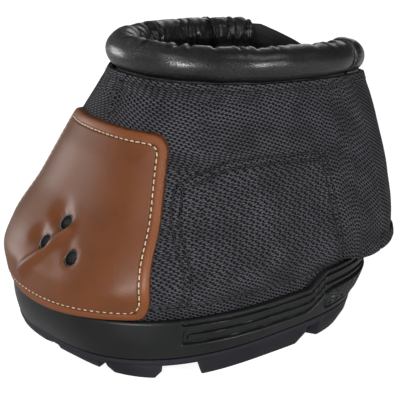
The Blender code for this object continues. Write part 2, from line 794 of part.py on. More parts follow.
def buildRoll(suffix, start, end, sections, closedEnd):
    """A stretch of padded roll: its cover, open at one end or both, and its foam core."""
    sides = 14
    outer = []
    bore = []
    coreShares = spread(start, end, sections)
    for share in coreShares:
        radius = rollRadius(share, start, end, COLLAR_RADIUS)
        outer.append(rollRing(share, radius, sides))
        bore.append(rollRing(share, radius - COVER_THICKNESS, sides))
    if closedEnd:
        girth = collarRing().girth
        for share in (0.5, 0.87):
            reach = end + share * COLLAR_RADIUS / girth
            outer.append(rollRing(reach, COLLAR_RADIUS * math.sqrt(1 - share ** 2), sides))
        tip = collarFrame(end + COLLAR_RADIUS / girth)[0]
        points = [p for ring in outer for p in ring] + [tip]
        faces = loftFaces(outer, True, False)
        last = (len(outer) - 1) * sides
        for k in range(sides):
            faces.append((last + k, last + (k + 1) % sides, len(points) - 1))
        offset = len(points)
        points += [p for ring in bore for p in ring]
        faces += [tuple(offset + k for k in face) for face in loftFaces(bore, True, False)]
        faces.append(tuple(range(len(points) - sides, len(points))))
        for k in range(sides):
            following = (k + 1) % sides
            faces.append((k, following, offset + following, offset + k))
        cover = makeObject("collar_cover_" + suffix, points, faces, PU_LEATHER, 0.25)
    else:
        rings = outer + list(reversed(bore))
        points = [p for ring in rings for p in ring]
        faces = loftFaces(rings, True, True)
        cover = makeObject("collar_cover_" + suffix, points, faces, PU_LEATHER, 0.25)
    core = []
    girth = collarRing().girth
    inset = SEAT_GAP / girth
    coreSides = 8
    for share in spread(start, end - (2 * inset if closedEnd else 0), sections):
        radius = rollRadius(share, start, end, COLLAR_RADIUS) - COVER_THICKNESS - SEAT_GAP
        core.append(rollRing(share, radius, coreSides))
    points = [p for ring in core for p in ring]
    faces = loftFaces(core, True, False)
    faces.append(tuple(range(coreSides)))
    faces.append(tuple(range(len(points) - coreSides, len(points))))
    makeObject("collar_foam_" + suffix, points, faces, FOAM, 0.9)
    return cover


def buildPiping(name, share):
    """Raised seam band round the roll."""
    girth = collarRing().girth
    half = 0.5 * PIPING_WIDTH / girth
    sides = 14
    outerRadius = COLLAR_RADIUS - COLLAR_TUCK + PIPING_RISE
    innerRadius = COLLAR_RADIUS - COLLAR_TUCK - COVER_THICKNESS
    rings = [rollRing(share - half, outerRadius, sides), rollRing(share + half, outerRadius, sides),
             rollRing(share + half, innerRadius, sides), rollRing(share - half, innerRadius, sides)]
    points = [p for ring in rings for p in ring]
    return makeObject(name, points, loftFaces(rings, True, True), PU_LEATHER, 0.3)


def buildCollar():
    ring = collarRing()
    gap = (0.5 * PIPING_WIDTH + SEAT_GAP) / ring.girth
    hinge = ring.shareAtX(HINGE_X)
    farSeam = ring.shareAtX(COLLAR_FAR_SEAM_X)
    farEnd = ring.shareAtX(COLLAR_FAR_END_X)
    nearSeam = hinge - gap - HINGE_GAP / ring.girth
    buildPiping("collar_piping_near", nearSeam)
    buildPiping("collar_piping_far", -farSeam)
    buildRoll("main", -farSeam + gap, nearSeam - gap, 27, False)
    buildRoll("far", -farEnd, -farSeam - gap, 6, False)
    start = hinge + HINGE_GAP / ring.girth
    return buildRoll("flap", start, start + COLLAR_FLAP_LENGTH / ring.girth, 7, True)


def heelPoint(level, around, depth, rise=0.0):
    """Point round the heel, 0 at the near hinge line and 1 at the far one."""
    ring = upperRing(max(level, flapRingShare), depth)
    start = ring.shareAtX(HINGE_X)
    x, y = ring.at(blend(start, 2 - start, around))
    return Vector((x, y, levelHeight(level, x) + rise))


def heelLevel(height):
    return (height - LIP_HEIGHT) / (UPPER_HEEL_HEIGHT - LIP_HEIGHT)


def closureRows(foot, top):
    """Rows of a heel flap: the upper's own rows, pressed down above the pads."""
    rows = [foot] + [row for row in upperRowShares if row >= flapRingShare]
    squeeze = (top - padTopShare) / (1 - padTopShare)
    return [row if row <= padTopShare else padTopShare + (row - padTopShare) * squeeze
            for row in rows]


def closurePlaces(first, last):
    """Places round the heel that both flaps share, clear of the two hinge lines."""
    ring = upperRing(flapRingShare, 0)
    clear = HINGE_GAP / (ring.girth * (2 - 2 * ring.shareAtX(HINGE_X)))
    places = spread(clear, 1 - clear, closureColumns)
    return [place for place in places if first <= place <= last]


def outerLift(around):
    """How far the outer flap's face stands proud of the upper's, growing to its end."""
    return FLAP_LIFT * min(1.0, around / outerFlapEndShare)


def closureStack():
    """Distance from the outer flap's face to the inner flap's face when closed."""
    return SHELL_THICKNESS + FLAP_LINING_THICKNESS + 2 * PAD_THICKNESS + 5 * SEAT_GAP


def outerTop(around):
    underRoll = COLLAR_FLAP_FALL / (UPPER_HEEL_HEIGHT - LIP_HEIGHT) * smooth(around / 0.55)
    return 1 - underRoll - flapTopFallShare * smooth((around - 0.38) / 0.45)


def flapPanel(name, places, foot, topOf, depthOf, thickness, riseOf, colour):
    """Curved panel of a heel flap: its face at a depth for each place, and its thickness."""
    sections = []
    for place in places:
        rows = closureRows(foot, topOf(place))
        face = depthOf(place)
        outer = []
        inner = []
        for row in rows:
            rise = riseOf(place) * max(0.0, row - padTopShare) / (rows[-1] - padTopShare)
            outer.append(heelPoint(row, place, face, rise))
            inner.append(heelPoint(row, place, face + thickness, rise))
        sections.append(outer + list(reversed(inner)))
    return panel(name, sections, colour, 0.85)


def hingeEmpty(name, side):
    """Axis of a heel flap: a line just outside the upper's face, from the roll down."""
    low = upperRing(upperLevelShares[4][0], 0)
    yLow = low.at(low.shareAtX(HINGE_X))[1]
    centre, outward, _ = collarFrame(collarRing().shareAtX(HINGE_X))
    rollFace = centre + outward * (COLLAR_RADIUS + SEAT_GAP)
    top = Vector((HINGE_X, abs(rollFace.y) * side, rollFace.z))
    height = levelHeight(upperLevelShares[4][0], HINGE_X)
    foot = Vector((HINGE_X, (abs(yLow) + SEAT_GAP) * side, height))
    holder = bpy.data.objects.new(name, None)
    holder.location = foot
    holder.rotation_euler = (top - foot).to_track_quat("Z", "Y").to_euler()
    bpy.context.scene.collection.objects.link(holder)
    return holder


def attach(thing, holder):
    thing.parent = holder
    thing.matrix_parent_inverse = holder.matrix_world.inverted()


def buildHem(places, back):
    """Binding folded over the outer flap's foot, U-shaped in section."""
    low = heelLevel(FLAP_FOOT_HEIGHT)
    mid = heelLevel(FLAP_FOOT_HEIGHT + HEM_THICKNESS)
    high = heelLevel(FLAP_FOOT_HEIGHT + HEM_WIDTH)
    points = []
    for place in places:
        face = -outerLift(place) - SEAT_GAP
        rear = back - outerLift(place)
        points += [heelPoint(low, place, face - HEM_THICKNESS),
                   heelPoint(high, place, face - HEM_THICKNESS),
                   heelPoint(high, place, face),
                   heelPoint(mid, place, face),
                   heelPoint(mid, place, rear),
                   heelPoint(high, place, rear),
                   heelPoint(high, place, rear + HEM_THICKNESS),
                   heelPoint(low, place, rear + HEM_THICKNESS)]
    count = 8
    sections = [points[k:k + count] for k in range(0, len(points), count)]
    faces = loftFaces(sections, True, False)
    for start in (0, len(points) - count):
        for quad in ((0, 1, 2, 3), (0, 3, 4, 7), (4, 5, 6, 7)):
            faces.append(tuple(start + k for k in quad))
    return makeObject("heel_flap_hem", points, faces, NYLON, 0.8)


def buildPad(name, depth):
    """Touch-fastener pad between the flaps, on the places and rows that they share."""
    sections = []
    for place in closurePlaces(*padSpanShares):
        face = depth - outerLift(place)
        rows = [row for row in upperRowShares if padFootShare <= row <= padTopShare]
        outer = [heelPoint(row, place, face) for row in rows]
        inner = [heelPoint(row, place, face + PAD_THICKNESS) for row in rows]
        sections.append(outer + list(reversed(inner)))
    return panel(name, sections, SOFT_BLACK, 0.95)


def buildOuterFlap(holder):
    """Outer flap: woven shell, lining, hem along its foot and the hook pad inside."""
    places = closurePlaces(0, outerFlapEndShare)
    foot = heelLevel(FLAP_FOOT_HEIGHT + HEM_THICKNESS + SEAT_GAP)
    liningFace = SHELL_THICKNESS + SEAT_GAP
    liningBack = liningFace + FLAP_LINING_THICKNESS
    pieces = [
        flapPanel("heel_flap_shell", places, foot, outerTop, lambda a: -outerLift(a),
                  SHELL_THICKNESS, lambda a: 0.0, NYLON),
        flapPanel("heel_flap_lining", places, foot, outerTop, lambda a: liningFace - outerLift(a),
                  FLAP_LINING_THICKNESS, lambda a: 0.0, SOFT_BLACK),
        buildHem(places, liningBack + SEAT_GAP),
        buildPad("hook_pad", liningBack + SEAT_GAP),
    ]
    for piece in pieces:
        attach(piece, holder)


def innerDepth(around):
    """Depth of the inner flap's face: flush at its root, then under the outer flap."""
    under = closureStack() - outerLift(around)
    return under * smooth((1 - around) / (1 - outerFlapEndShare))


def innerTop(around):
    """Top of the inner flap: the upper's at its root, then falling behind the roll."""
    return blend(1.0, 1 - innerTopFallShare, smooth((0.66 - around) / 0.2))


def innerRise(around):
    return INNER_FLAP_RISE * min(1.0, max(0.0, (around - 0.55) / 0.4))


def buildInnerFlap(holder):
    places = closurePlaces(innerFlapEndShare, 1)
    pieces = [
        flapPanel("inner_flap", places, heelLevel(FLAP_FOOT_HEIGHT), innerTop, innerDepth,
                  INNER_FLAP_THICKNESS, innerRise, SOFT_BLACK),
        buildPad("loop_pad", closureStack() - PAD_THICKNESS - SEAT_GAP),
    ]
    for piece in pieces:
        attach(piece, holder)


def main():
    for thing in list(bpy.data.objects):
        bpy.data.objects.remove(thing, do_unlink=True)
    buildSoleCup()
    buildTread()
    buildInsoleBoard()
    layers = [buildQuarter("quarter_near", 1), buildQuarter("quarter_far", -1),
              buildLining("lining_near", 1), buildLining("lining_far", -1)]
    buildStiffener("stiffener_near", 1)
    buildStiffener("stiffener_far", -1)
    patch = buildToePatch()
    buildVents(patch, layers)
    flapRoll = buildCollar()
    outerHolder = hingeEmpty("outer_flap_axis", -1)
    innerHolder = hingeEmpty("inner_flap_axis", 1)
    bpy.context.view_layer.update()
    buildOuterFlap(outerHolder)
    buildInnerFlap(innerHolder)
    attach(flapRoll, outerHolder)
    attach(bpy.data.objects["collar_foam_flap"], outerHolder)


main()
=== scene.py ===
import bpy, bmesh, math
import numpy as np
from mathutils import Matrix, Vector
from mathutils.kdtree import KDTree


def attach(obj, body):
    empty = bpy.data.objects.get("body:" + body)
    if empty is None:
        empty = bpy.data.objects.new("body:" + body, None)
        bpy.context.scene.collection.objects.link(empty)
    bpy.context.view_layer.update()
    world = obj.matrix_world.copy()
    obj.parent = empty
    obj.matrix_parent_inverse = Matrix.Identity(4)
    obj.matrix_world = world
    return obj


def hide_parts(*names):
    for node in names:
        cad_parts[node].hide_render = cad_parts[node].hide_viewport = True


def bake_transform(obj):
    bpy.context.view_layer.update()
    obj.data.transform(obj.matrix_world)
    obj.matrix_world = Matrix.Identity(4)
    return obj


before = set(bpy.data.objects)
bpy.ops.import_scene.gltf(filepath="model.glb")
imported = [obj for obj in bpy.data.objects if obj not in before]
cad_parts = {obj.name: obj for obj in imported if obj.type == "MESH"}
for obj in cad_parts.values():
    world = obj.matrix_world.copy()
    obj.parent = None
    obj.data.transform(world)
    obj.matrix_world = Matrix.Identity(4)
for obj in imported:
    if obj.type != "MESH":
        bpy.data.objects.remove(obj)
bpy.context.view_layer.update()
scene = bpy.context.scene
chance = np.random.RandomState(11)
print("scene: packed model loaded")

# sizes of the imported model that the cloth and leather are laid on, in metres
boot = {
    "soleToe": 0.0845, "soleHeel": 0.086, "soleHalfWidth": 0.07, "widest": 0.00301,
    "treadToe": 0.0799, "treadHeel": 0.0757, "treadHalfWidth": 0.0686,
    "lip": 0.0275, "rimRise": 0.0065, "stepStart": 0.02, "stepLength": 0.015,
    "partingToe": 0.0085, "partingHeel": 0.0125, "floor": 0.017, "middleX": 0.02,
    "lipSquare": (2.35, 3.2), "partingSquare": (2.6, 3.1),
    "toeTop": 0.126, "topSlope": 0.08798, "toeTopX": -0.03397,
    "hingeX": 0.073, "gap": 0.0003,
    "shell": 0.0016, "liningDepth": 0.004, "lining": 0.003,
}

# height share, then toe, heel, half width and widest point as shares of the sole, then squareness
upperLevels = np.array([
    (0.000, 0.955, 0.930, 0.936, 0.035, 2.40, 3.20),
    (0.066, 0.985, 0.960, 0.945, 0.035, 2.60, 3.20),
    (0.127, 0.980, 1.060, 0.970, 0.060, 2.75, 3.20),
    (0.225, 0.918, 1.209, 0.993, 0.090, 2.80, 3.30),
    (0.450, 0.722, 1.209, 0.900, 0.151, 2.75, 3.30),
    (0.735, 0.556, 1.186, 0.771, 0.256, 2.50, 3.00),
    (1.000, 0.402, 1.140, 0.621, 0.360, 2.20, 2.80),
])


def smooth(value):
    value = np.clip(value, 0, 1)
    return value * value * (3 - 2 * value)


def bump(distance, width):
    # 1 on a line, falling softly to 0 a few widths away
    return np.exp(-(distance / width) ** 2)


def rounding(share):
    # 1 at an edge, falling round a quarter circle to 0 where the share is 1
    return 1 - np.sqrt(np.clip(1 - (1 - np.clip(share, 0, 1)) ** 2, 0, 1))


def outline(toe, heel, halfWidth, widest, toeSquare, heelSquare):
    # half a rounded outline from toe to heel, with its running length
    angle = np.linspace(0, math.pi, 321)
    c, s = np.cos(angle), np.abs(np.sin(angle))
    square = np.where(c > 0, toeSquare, heelSquare)
    reach = np.where(c > 0, widest + toe, heel - widest)
    x = widest - np.sign(c) * reach * np.abs(c) ** (2 / square)
    y = halfWidth * s ** (2 / square)
    run = np.concatenate([[0], np.cumsum(np.hypot(np.diff(x), np.diff(y)))])
    return {"x": x, "y": y, "run": run, "girth": run[-1]}


def alongOutline(ring, share):
    # share 0 is the toe and 1 the heel on the near side; below 0 and past 1 lie on the far side
    share = np.asarray(share, float)
    far = (share < 0) | (share > 1)
    folded = np.where(share < 0, -share, np.where(share > 1, 2 - share, share))
    x = np.interp(folded * ring["girth"], ring["run"], ring["x"])
    y = np.interp(folded * ring["girth"], ring["run"], ring["y"])
    return x, np.where(far, y, -y)


def outlinePoints(ring, shares):
    return np.stack(alongOutline(ring, shares), -1)


def shareAtX(ring, x):
    return np.interp(x, ring["x"], ring["run"]) / ring["girth"]


def levelShares(level):
    # smooth curve through the level table that never overshoots
    at = upperLevels[:, 0]
    i = int(np.clip(np.searchsorted(at, level) - 1, 0, len(at) - 2))
    gaps = np.diff(at)
    slopes = np.diff(upperLevels[:, 1:], axis=0) / gaps[:, None]

    def tangent(k):
        if k == 0:
            return slopes[0]
        if k == len(at) - 1:
            return slopes[-1]
        a, b = slopes[k - 1], slopes[k]
        total = np.where(np.abs(a + b) < 1e-12, 1, a + b)
        return np.where(a * b > 0, 2 * a * b / total, 0)

    t = np.clip((level - at[i]) / gaps[i], 0, 1)
    p, q = upperLevels[i, 1:], upperLevels[i + 1, 1:]
    m, n = tangent(i) * gaps[i], tangent(i + 1) * gaps[i]
    return ((2 * t ** 3 - 3 * t ** 2 + 1) * p + (t ** 3 - 2 * t ** 2 + t) * m
            + (3 * t ** 2 - 2 * t ** 3) * q + (t ** 3 - t ** 2) * n)


outlineCache = {}


def upperOutline(level, depth):
    key = (round(float(level), 6), round(float(depth), 7))
    if key not in outlineCache:
        toe, heel, width, widest, toeSquare, heelSquare = levelShares(level)
        outlineCache[key] = outline(
            boot["soleToe"] * toe - depth, boot["soleHeel"] * heel - depth,
            boot["soleHalfWidth"] * width - depth, boot["soleHeel"] * widest, toeSquare, heelSquare)
    return outlineCache[key]


def topHeight(x):
    return boot["toeTop"] - (x - boot["toeTopX"]) * boot["topSlope"]


def levelHeight(level, x):
    return boot["lip"] + (topHeight(x) - boot["lip"]) * level


def upperRow(level, depth, shares):
    # points round the upper at one level
    x, y = alongOutline(upperOutline(level, depth), shares)
    return np.stack([x, y, levelHeight(level, x)], -1)


def levelOf(x, z):
    return (z - boot["lip"]) / (topHeight(x) - boot["lip"])


def sidePoint(x, z, depth, side=-1):
    # point on the upper's side above a place given by its x and height
    ring = upperOutline(levelOf(x, z), depth)
    y = np.interp(x, ring["x"], ring["y"])
    return np.array([x, side * y, z])


def toePoint(height, girth, depth):
    # point on the upper at a height, a girth to the near side of the front seam
    x = -boot["soleToe"]
    for _ in range(5):
        level = levelOf(x, height)
        ring = upperOutline(level, depth)
        px, py = alongOutline(ring, girth / ring["girth"])
        x = float(px)
    return np.array([x, float(py), height])


def outwardNormals(points, height):
    # unit normals of a grid of points, turned away from a place inside the boot at this height
    normal = np.cross(np.gradient(points, axis=1), np.gradient(points, axis=0))
    normal = normal / np.maximum(np.linalg.norm(normal, axis=-1, keepdims=True), 1e-12)
    sign = np.sign(((points - np.array([boot["middleX"], 0, height])) * normal).sum(-1, keepdims=True))
    return normal * np.where(sign == 0, 1, sign)


def runLengths(points, axis):
    step = np.linalg.norm(np.diff(points, axis=axis), axis=-1)
    zero = np.zeros_like(np.take(step, [0], axis=axis))
    return np.concatenate([zero, np.cumsum(step, axis=axis)], axis=axis)


def sheetRuns(points):
    # girths on a grid of points: from its foot, from its top, from its first column and from its last
    up, across = runLengths(points, 0), runLengths(points, 1)
    return up, up[-1:] - up, across, across[:, -1:] - across


def searchTree(points):
    tree = KDTree(len(points))
    for i, p in enumerate(points):
        tree.insert(p, i)
    tree.balance()
    return tree


def distanceTo(points, path):
    # distance from every point to the nearest of a path's points
    tree = searchTree(path)
    return np.array([tree.find(p)[2] for p in points.reshape(-1, 3)]).reshape(points.shape[:-1])


def onPath(path, run, at):
    return np.stack([np.interp(at, run, path[:, k]) for k in range(3)], -1)


def evenPath(path, step=0.0004):
    # the same path with evenly spaced points
    path = np.asarray(path, float)
    run = runLengths(path, 0)
    return onPath(path, run, np.linspace(0, run[-1], max(2, int(run[-1] / step))))


def curvedPath(corners, count=14):
    # Catmull-Rom curve through a few corner points
    corners = np.asarray(corners, float)
    p = np.vstack([2 * corners[0] - corners[1], corners, 2 * corners[-1] - corners[-2]])
    out = []
    for i in range(1, len(p) - 2):
        for t in np.linspace(0, 1, count, endpoint=False):
            a, b, c, d = p[i - 1], p[i], p[i + 1], p[i + 2]
            out.append(0.5 * (2 * b + (c - a) * t + (2 * a - 5 * b + 4 * c - d) * t ** 2
                              + (3 * b - a - 3 * c + d) * t ** 3))
    return np.array(out + [corners[-1]])


def makeMesh(name, points, faces, material, place=None, edge=None):
    # an object of the points that its faces use, with the places that its material reads
    points = np.reshape(points, (-1, 3))
    used = np.unique(np.concatenate(faces))
    order = np.full(len(points), -1)
    order[used] = np.arange(len(used))
    mesh = bpy.data.meshes.new(name)
    mesh.from_pydata(points[used].tolist(), [], [[int(order[k]) for k in f] for f in faces])
    for label, kind, slot, values in (("clothPlace", "FLOAT_VECTOR", "vector", place),
                                      ("edgePlace", "FLOAT", "value", edge)):
        if values is not None:
            values = np.reshape(np.asarray(values, np.float32), (len(points), -1))[used]
            mesh.attributes.new(label, kind, "POINT").data.foreach_set(slot, values.ravel())
    shell = bmesh.new()
    shell.from_mesh(mesh)
    bmesh.ops.recalc_face_normals(shell, faces=shell.faces)
    shell.to_mesh(mesh)
    shell.free()
    mesh.shade_smooth()
    mesh.set_sharp_from_angle(angle=math.radians(50))
    mesh.materials.append(material)
    thing = bpy.data.objects.new(name, mesh)
    scene.collection.objects.link(thing)
    return thing


def panelPiece(name, outer, inner, material, place=None, edge=None, keep=None):
    # two matching sheets of points, joined round every open edge into one closed body
    rows, cols = outer.shape[:2]
    base = rows * cols
    faces, borders = [], set()
    for r in range(rows - 1):
        for c in range(cols - 1):
            if keep is not None and not keep[r, c]:
                continue
            first = r * cols + c
            quad = [first, first + 1, first + cols + 1, first + cols]
            faces += [quad, [k + base for k in reversed(quad)]]
            for p, q in zip(quad, quad[1:] + quad[:1]):
                if (q, p) in borders:
                    borders.remove((q, p))
                else:
                    borders.add((p, q))
    faces += [[q, p, p + base, q + base] for p, q in sorted(borders)]
    place, edge = (None if v is None else np.concatenate([v, v]) for v in (place, edge))
    return makeMesh(name, np.concatenate([outer, inner]), faces, material, place, edge)


def ringFaces(rows, cols, endless=False, first=0):
    # faces between rings of points in a row, capped at both ends unless endless
    faces = []
    for r in range(rows if endless else rows - 1):
        s = (r + 1) % rows
        for c in range(cols):
            d = (c + 1) % cols
            faces.append([first + k for k in (r * cols + c, r * cols + d, s * cols + d, s * cols + c)])
    if not endless:
        faces.append([first + c for c in reversed(range(cols))])
        faces.append([first + (rows - 1) * cols + c for c in range(cols)])
    return faces


def ringPiece(name, rings, material, endless=False, place=None, edge=None):
    rings = np.asarray(rings, float)
    return makeMesh(name, rings, ringFaces(*rings.shape[:2], endless), material, place, edge)


def turnedPiece(name, profile, centre, axis, material, sides=40):
    # body turned about an axis from a closed profile of radius and distance along it
    turn = np.array(Vector(axis).to_track_quat("Z", "Y").to_matrix())
    angle = np.linspace(0, 2 * math.pi, sides, endpoint=False)
    rings = []
    for radius, along in profile:
        local = np.stack([radius * np.cos(angle), radius * np.sin(angle), np.full(sides, along)], 1)
        rings.append(np.asarray(centre) + local @ turn.T)
    return ringPiece(name, rings, material, endless=True)


# share of a stitch's length, and its thickness there
stitchShape = ((0.0, 0.25), (0.06, 0.7), (0.2, 0.95), (0.5, 1.0), (0.8, 0.95), (0.94, 0.7), (1.0, 0.25))


def stitchPiece(name, runs, material, style, sides=7):
    # rounded thread lengths that dip into the cloth at both ends; a run is (path, outward)
    points, faces, along = [], [], []
    angle = np.linspace(0, 2 * math.pi, sides, endpoint=False)
    for path, outward in runs:
        run = runLengths(path, 0)
        count = max(1, int(round(run[-1] / style["pitch"])))
        pitch = run[-1] / count
        for i in range(count):
            start = (i + 0.5 - 0.5 * style["length"] / style["pitch"]) * pitch
            skew = chance.uniform(-1, 1) * style["radius"] * 0.25
            faces += ringFaces(len(stitchShape), sides, first=len(points))
            for t, swell in stitchShape:
                at = start + t * style["length"] / style["pitch"] * pitch
                up = onPath(outward, run, at)
                up /= np.linalg.norm(up)
                ahead = onPath(path, run, at + 1e-4) - onPath(path, run, at - 1e-4)
                ahead /= np.linalg.norm(ahead)
                side = np.cross(ahead, up)
                bow = (2 * t - 1) ** 4
                arch = style["lift"] * (1 - bow) - style["dip"] * bow
                centre = onPath(path, run, at) + up * arch + side * skew * (2 * t - 1)
                for a in angle:
                    points.append(centre + style["radius"] * swell * (side * math.cos(a) + up * math.sin(a)))
                    along.append((at, a, 0))
    return makeMesh(name, points, faces, material, along)


def wear(piece, body, slot, *nodes):
    # hang a finished piece on its body, in place of the nodes it stands for
    if body is not None:
        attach(piece, body)
    if nodes:
        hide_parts(*nodes)
    return piece


def startGroup(name, inputs, outputs):
    group = bpy.data.node_groups.new(name, "ShaderNodeTree")
    for label, kind, value in inputs:
        socket = group.interface.new_socket(name=label, in_out="INPUT", socket_type="NodeSocket" + kind)
        if value is not None:
            socket.default_value = value
    for label in outputs:
        group.interface.new_socket(name=label, in_out="OUTPUT", socket_type="NodeSocketFloat")
    return group, group.nodes.new("NodeGroupInput").outputs, group.nodes.new("NodeGroupOutput").inputs


def feed(tree, socket, value):
    if isinstance(value, bpy.types.NodeSocket):
        tree.links.new(value, socket)
    elif value is not None:
        socket.default_value = value


def calc(tree, operation, a, b=None, c=None):
    node = tree.nodes.new("ShaderNodeMath")
    node.operation = operation
    for socket, value in zip(node.inputs, (a, b, c)):
        feed(tree, socket, value)
    return node.outputs[0]


def times(tree, a, b):
    return calc(tree, "MULTIPLY", a, b)


def timesPlus(tree, a, b, c):
    return calc(tree, "MULTIPLY_ADD", a, b, c)


def noise(tree, where, scale, detail=2.0, roughness=0.5):
    node = tree.nodes.new("ShaderNodeTexNoise")
    for label, value in (("Vector", where), ("Scale", scale), ("Detail", detail), ("Roughness", roughness)):
        feed(tree, node.inputs[label], value)
    return node.outputs["Fac"]


def cells(tree, where, scale, feature="F1"):
    node = tree.nodes.new("ShaderNodeTexVoronoi")
    node.feature = feature
    feed(tree, node.inputs["Vector"], where)
    feed(tree, node.inputs["Scale"], scale)
    return node.outputs["Distance"]


def ramp(tree, value, low, high, fromLow=0.0, fromHigh=1.0):
    node = tree.nodes.new("ShaderNodeMapRange")
    node.interpolation_type = "SMOOTHSTEP"
    feed(tree, node.inputs["Value"], value)
    for label, number in (("From Min", fromLow), ("From Max", fromHigh), ("To Min", low), ("To Max", high)):
        node.inputs[label].default_value = number
    return node.outputs["Result"]


def paint(r, g, b):
    # a colour as it is seen, 0 to 255, for a shader
    values = [v / 255 for v in (r, g, b)]
    return tuple(v / 12.92 if v <= 0.04045 else ((v + 0.055) / 1.055) ** 2.4 for v in values) + (1.0,)


def mixColour(tree, factor, a, b):
    node = tree.nodes.new("ShaderNodeMix")
    node.data_type = "RGBA"
    feed(tree, node.inputs[0], factor)
    for socket, colour in ((node.inputs[6], a), (node.inputs[7], b)):
        feed(tree, socket, paint(*colour) if isinstance(colour, tuple) else colour)
    return node.outputs[2]


def attribute(tree, name, output):
    node = tree.nodes.new("ShaderNodeAttribute")
    node.attribute_name = name
    return node.outputs[output]


def objectPlace(tree):
    return tree.nodes.new("ShaderNodeTexCoord").outputs["Object"]


def squeezed(tree, where, share):
    # the same place with its first direction squeezed, which draws a pattern out along it
    node = tree.nodes.new("ShaderNodeMapping")
    node.inputs["Scale"].default_value = (share, 1.0, 1.0)
    feed(tree, node.inputs["Vector"], where)
    return node.outputs[0]


def useGroup(tree, group, **values):
    node = tree.nodes.new("ShaderNodeGroup")
    node.node_tree = group
    for label, value in values.items():
        feed(tree, node.inputs[label], value)
    return node.outputs


def startMaterial(name, **fixed):
    material = bpy.data.materials.new(name)
    material.use_nodes = True
    tree = material.node_tree
    shader = tree.nodes["Principled BSDF"]
    for label, value in fixed.items():
        shader.inputs[label.replace("_", " ")].default_value = value
    return material, tree, shader.inputs


def finishMaterial(tree, shader, colour, roughness, height, strength, distance):
    # what every material has: a colour, a roughness and a relief
    feed(tree, shader["Base Color"], colour)
    feed(tree, shader["Roughness"], roughness)
    node = tree.nodes.new("ShaderNodeBump")
    for label, value in (("Height", height), ("Strength", strength), ("Distance", distance)):
        feed(tree, node.inputs[label], value)
    feed(tree, shader["Normal"], node.outputs["Normal"])


def buildYarnGroup():
    # plain weave: the weft's floats stand out, and the warp sinks between them
    group, given, out = startGroup(
        "yarnWeave", [("Place", "Vector", None), ("Weft", "Float", 0.0011), ("Warp", "Float", 0.0017)],
        ["Height", "Float", "Tone"])
    split = group.nodes.new("ShaderNodeSeparateXYZ")
    feed(group, split.inputs[0], given["Place"])
    sway = times(group, calc(group, "SUBTRACT", noise(group, given["Place"], 80, 1.0), 0.5), 0.0007)

    def turns(place, pitch):
        return calc(group, "DIVIDE", times(group, place, math.pi), pitch)

    def yarn(crown, up, gain):
        crown = calc(group, "POWER", calc(group, "ABSOLUTE", crown), 0.6)
        return times(group, crown, timesPlus(group, up, 0.65 * gain, 0.35 * gain))

    u = turns(calc(group, "ADD", split.outputs[0], sway), given["Warp"])
    v = turns(calc(group, "SUBTRACT", split.outputs[1], sway), given["Weft"])
    rising = calc(group, "COSINE", calc(group, "ADD", u, v))
    falling = calc(group, "COSINE", calc(group, "SUBTRACT", u, v))
    ribs = calc(group, "COSINE", times(group, u, 2.0))
    sunk = timesPlus(group, falling, -0.24, times(group, rising, 0.48))
    under = timesPlus(group, timesPlus(group, ribs, -0.28, sunk), 0.5, 0.5)
    over = calc(group, "SUBTRACT", 1.0, under)
    fibre = noise(group, squeezed(group, given["Place"], 0.12), 7000, 2.0)
    height = calc(group, "MAXIMUM", yarn(calc(group, "SINE", v), over, 1.0),
                  yarn(calc(group, "SINE", u), under, 0.62))
    feed(group, out["Height"], timesPlus(group, fibre, 0.14, height))
    feed(group, out["Float"], over)
    feed(group, out["Tone"], noise(group, given["Place"], 60, 3.0))
    return group


def buildGrainGroup():
    # pebbled hide: small cells with creases between them
    group, given, out = startGroup("hideGrain", [("Place", "Vector", None), ("Fineness", "Float", 900.0)],
                                   ["Height", "Tone"])
    warped, shrink = (group.nodes.new("ShaderNodeVectorMath") for _ in range(2))
    warped.operation, shrink.operation = "ADD", "SCALE"
    swirl = group.nodes.new("ShaderNodeTexNoise")
    swirl.inputs["Scale"].default_value = 300
    shrink.inputs["Scale"].default_value = 0.0012
    for socket, value in ((swirl.inputs["Vector"], given["Place"]), (shrink.inputs[0], swirl.outputs["Color"]),
                          (warped.inputs[0], given["Place"]), (warped.inputs[1], shrink.outputs[0])):
        feed(group, socket, value)
    creases = ramp(group, cells(group, warped.outputs[0], given["Fineness"], "DISTANCE_TO_EDGE"), 0, 1, 0.0, 0.16)
    pores = noise(group, given["Place"], times(group, given["Fineness"], 2.7), 2.0)
    feed(group, out["Height"], timesPlus(group, pores, 0.35, creases))
    feed(group, out["Tone"], noise(group, given["Place"], times(group, given["Fineness"], 0.06), 4.0, 0.6))
    return group


def buildRubGroup():
    # rubbed places: the edges and high spots of a moulded or sewn piece
    group, given, out = startGroup("rubbedEdges", [("Place", "Vector", None), ("Reach", "Float", 0.5)],
                                   ["Mask", "Scuff"])
    sharp = group.nodes.new("ShaderNodeNewGeometry").outputs["Pointiness"]
    patchy = noise(group, given["Place"], 140, 5.0, 0.65)
    edge = times(group, ramp(group, sharp, 0, 1, 0.5, 0.58), given["Reach"])
    feed(group, out["Mask"], times(group, edge, timesPlus(group, patchy, 1.2, 0.2)))
    scuff = ramp(group, noise(group, given["Place"], 420, 6.0, 0.7), 0, 1, 0.58, 0.75)
    feed(group, out["Scuff"], times(group, scuff, patchy))
    return group


yarnGroup = buildYarnGroup()
grainGroup = buildGrainGroup()
rubGroup = buildRubGroup()
print("scene: shader groups made")


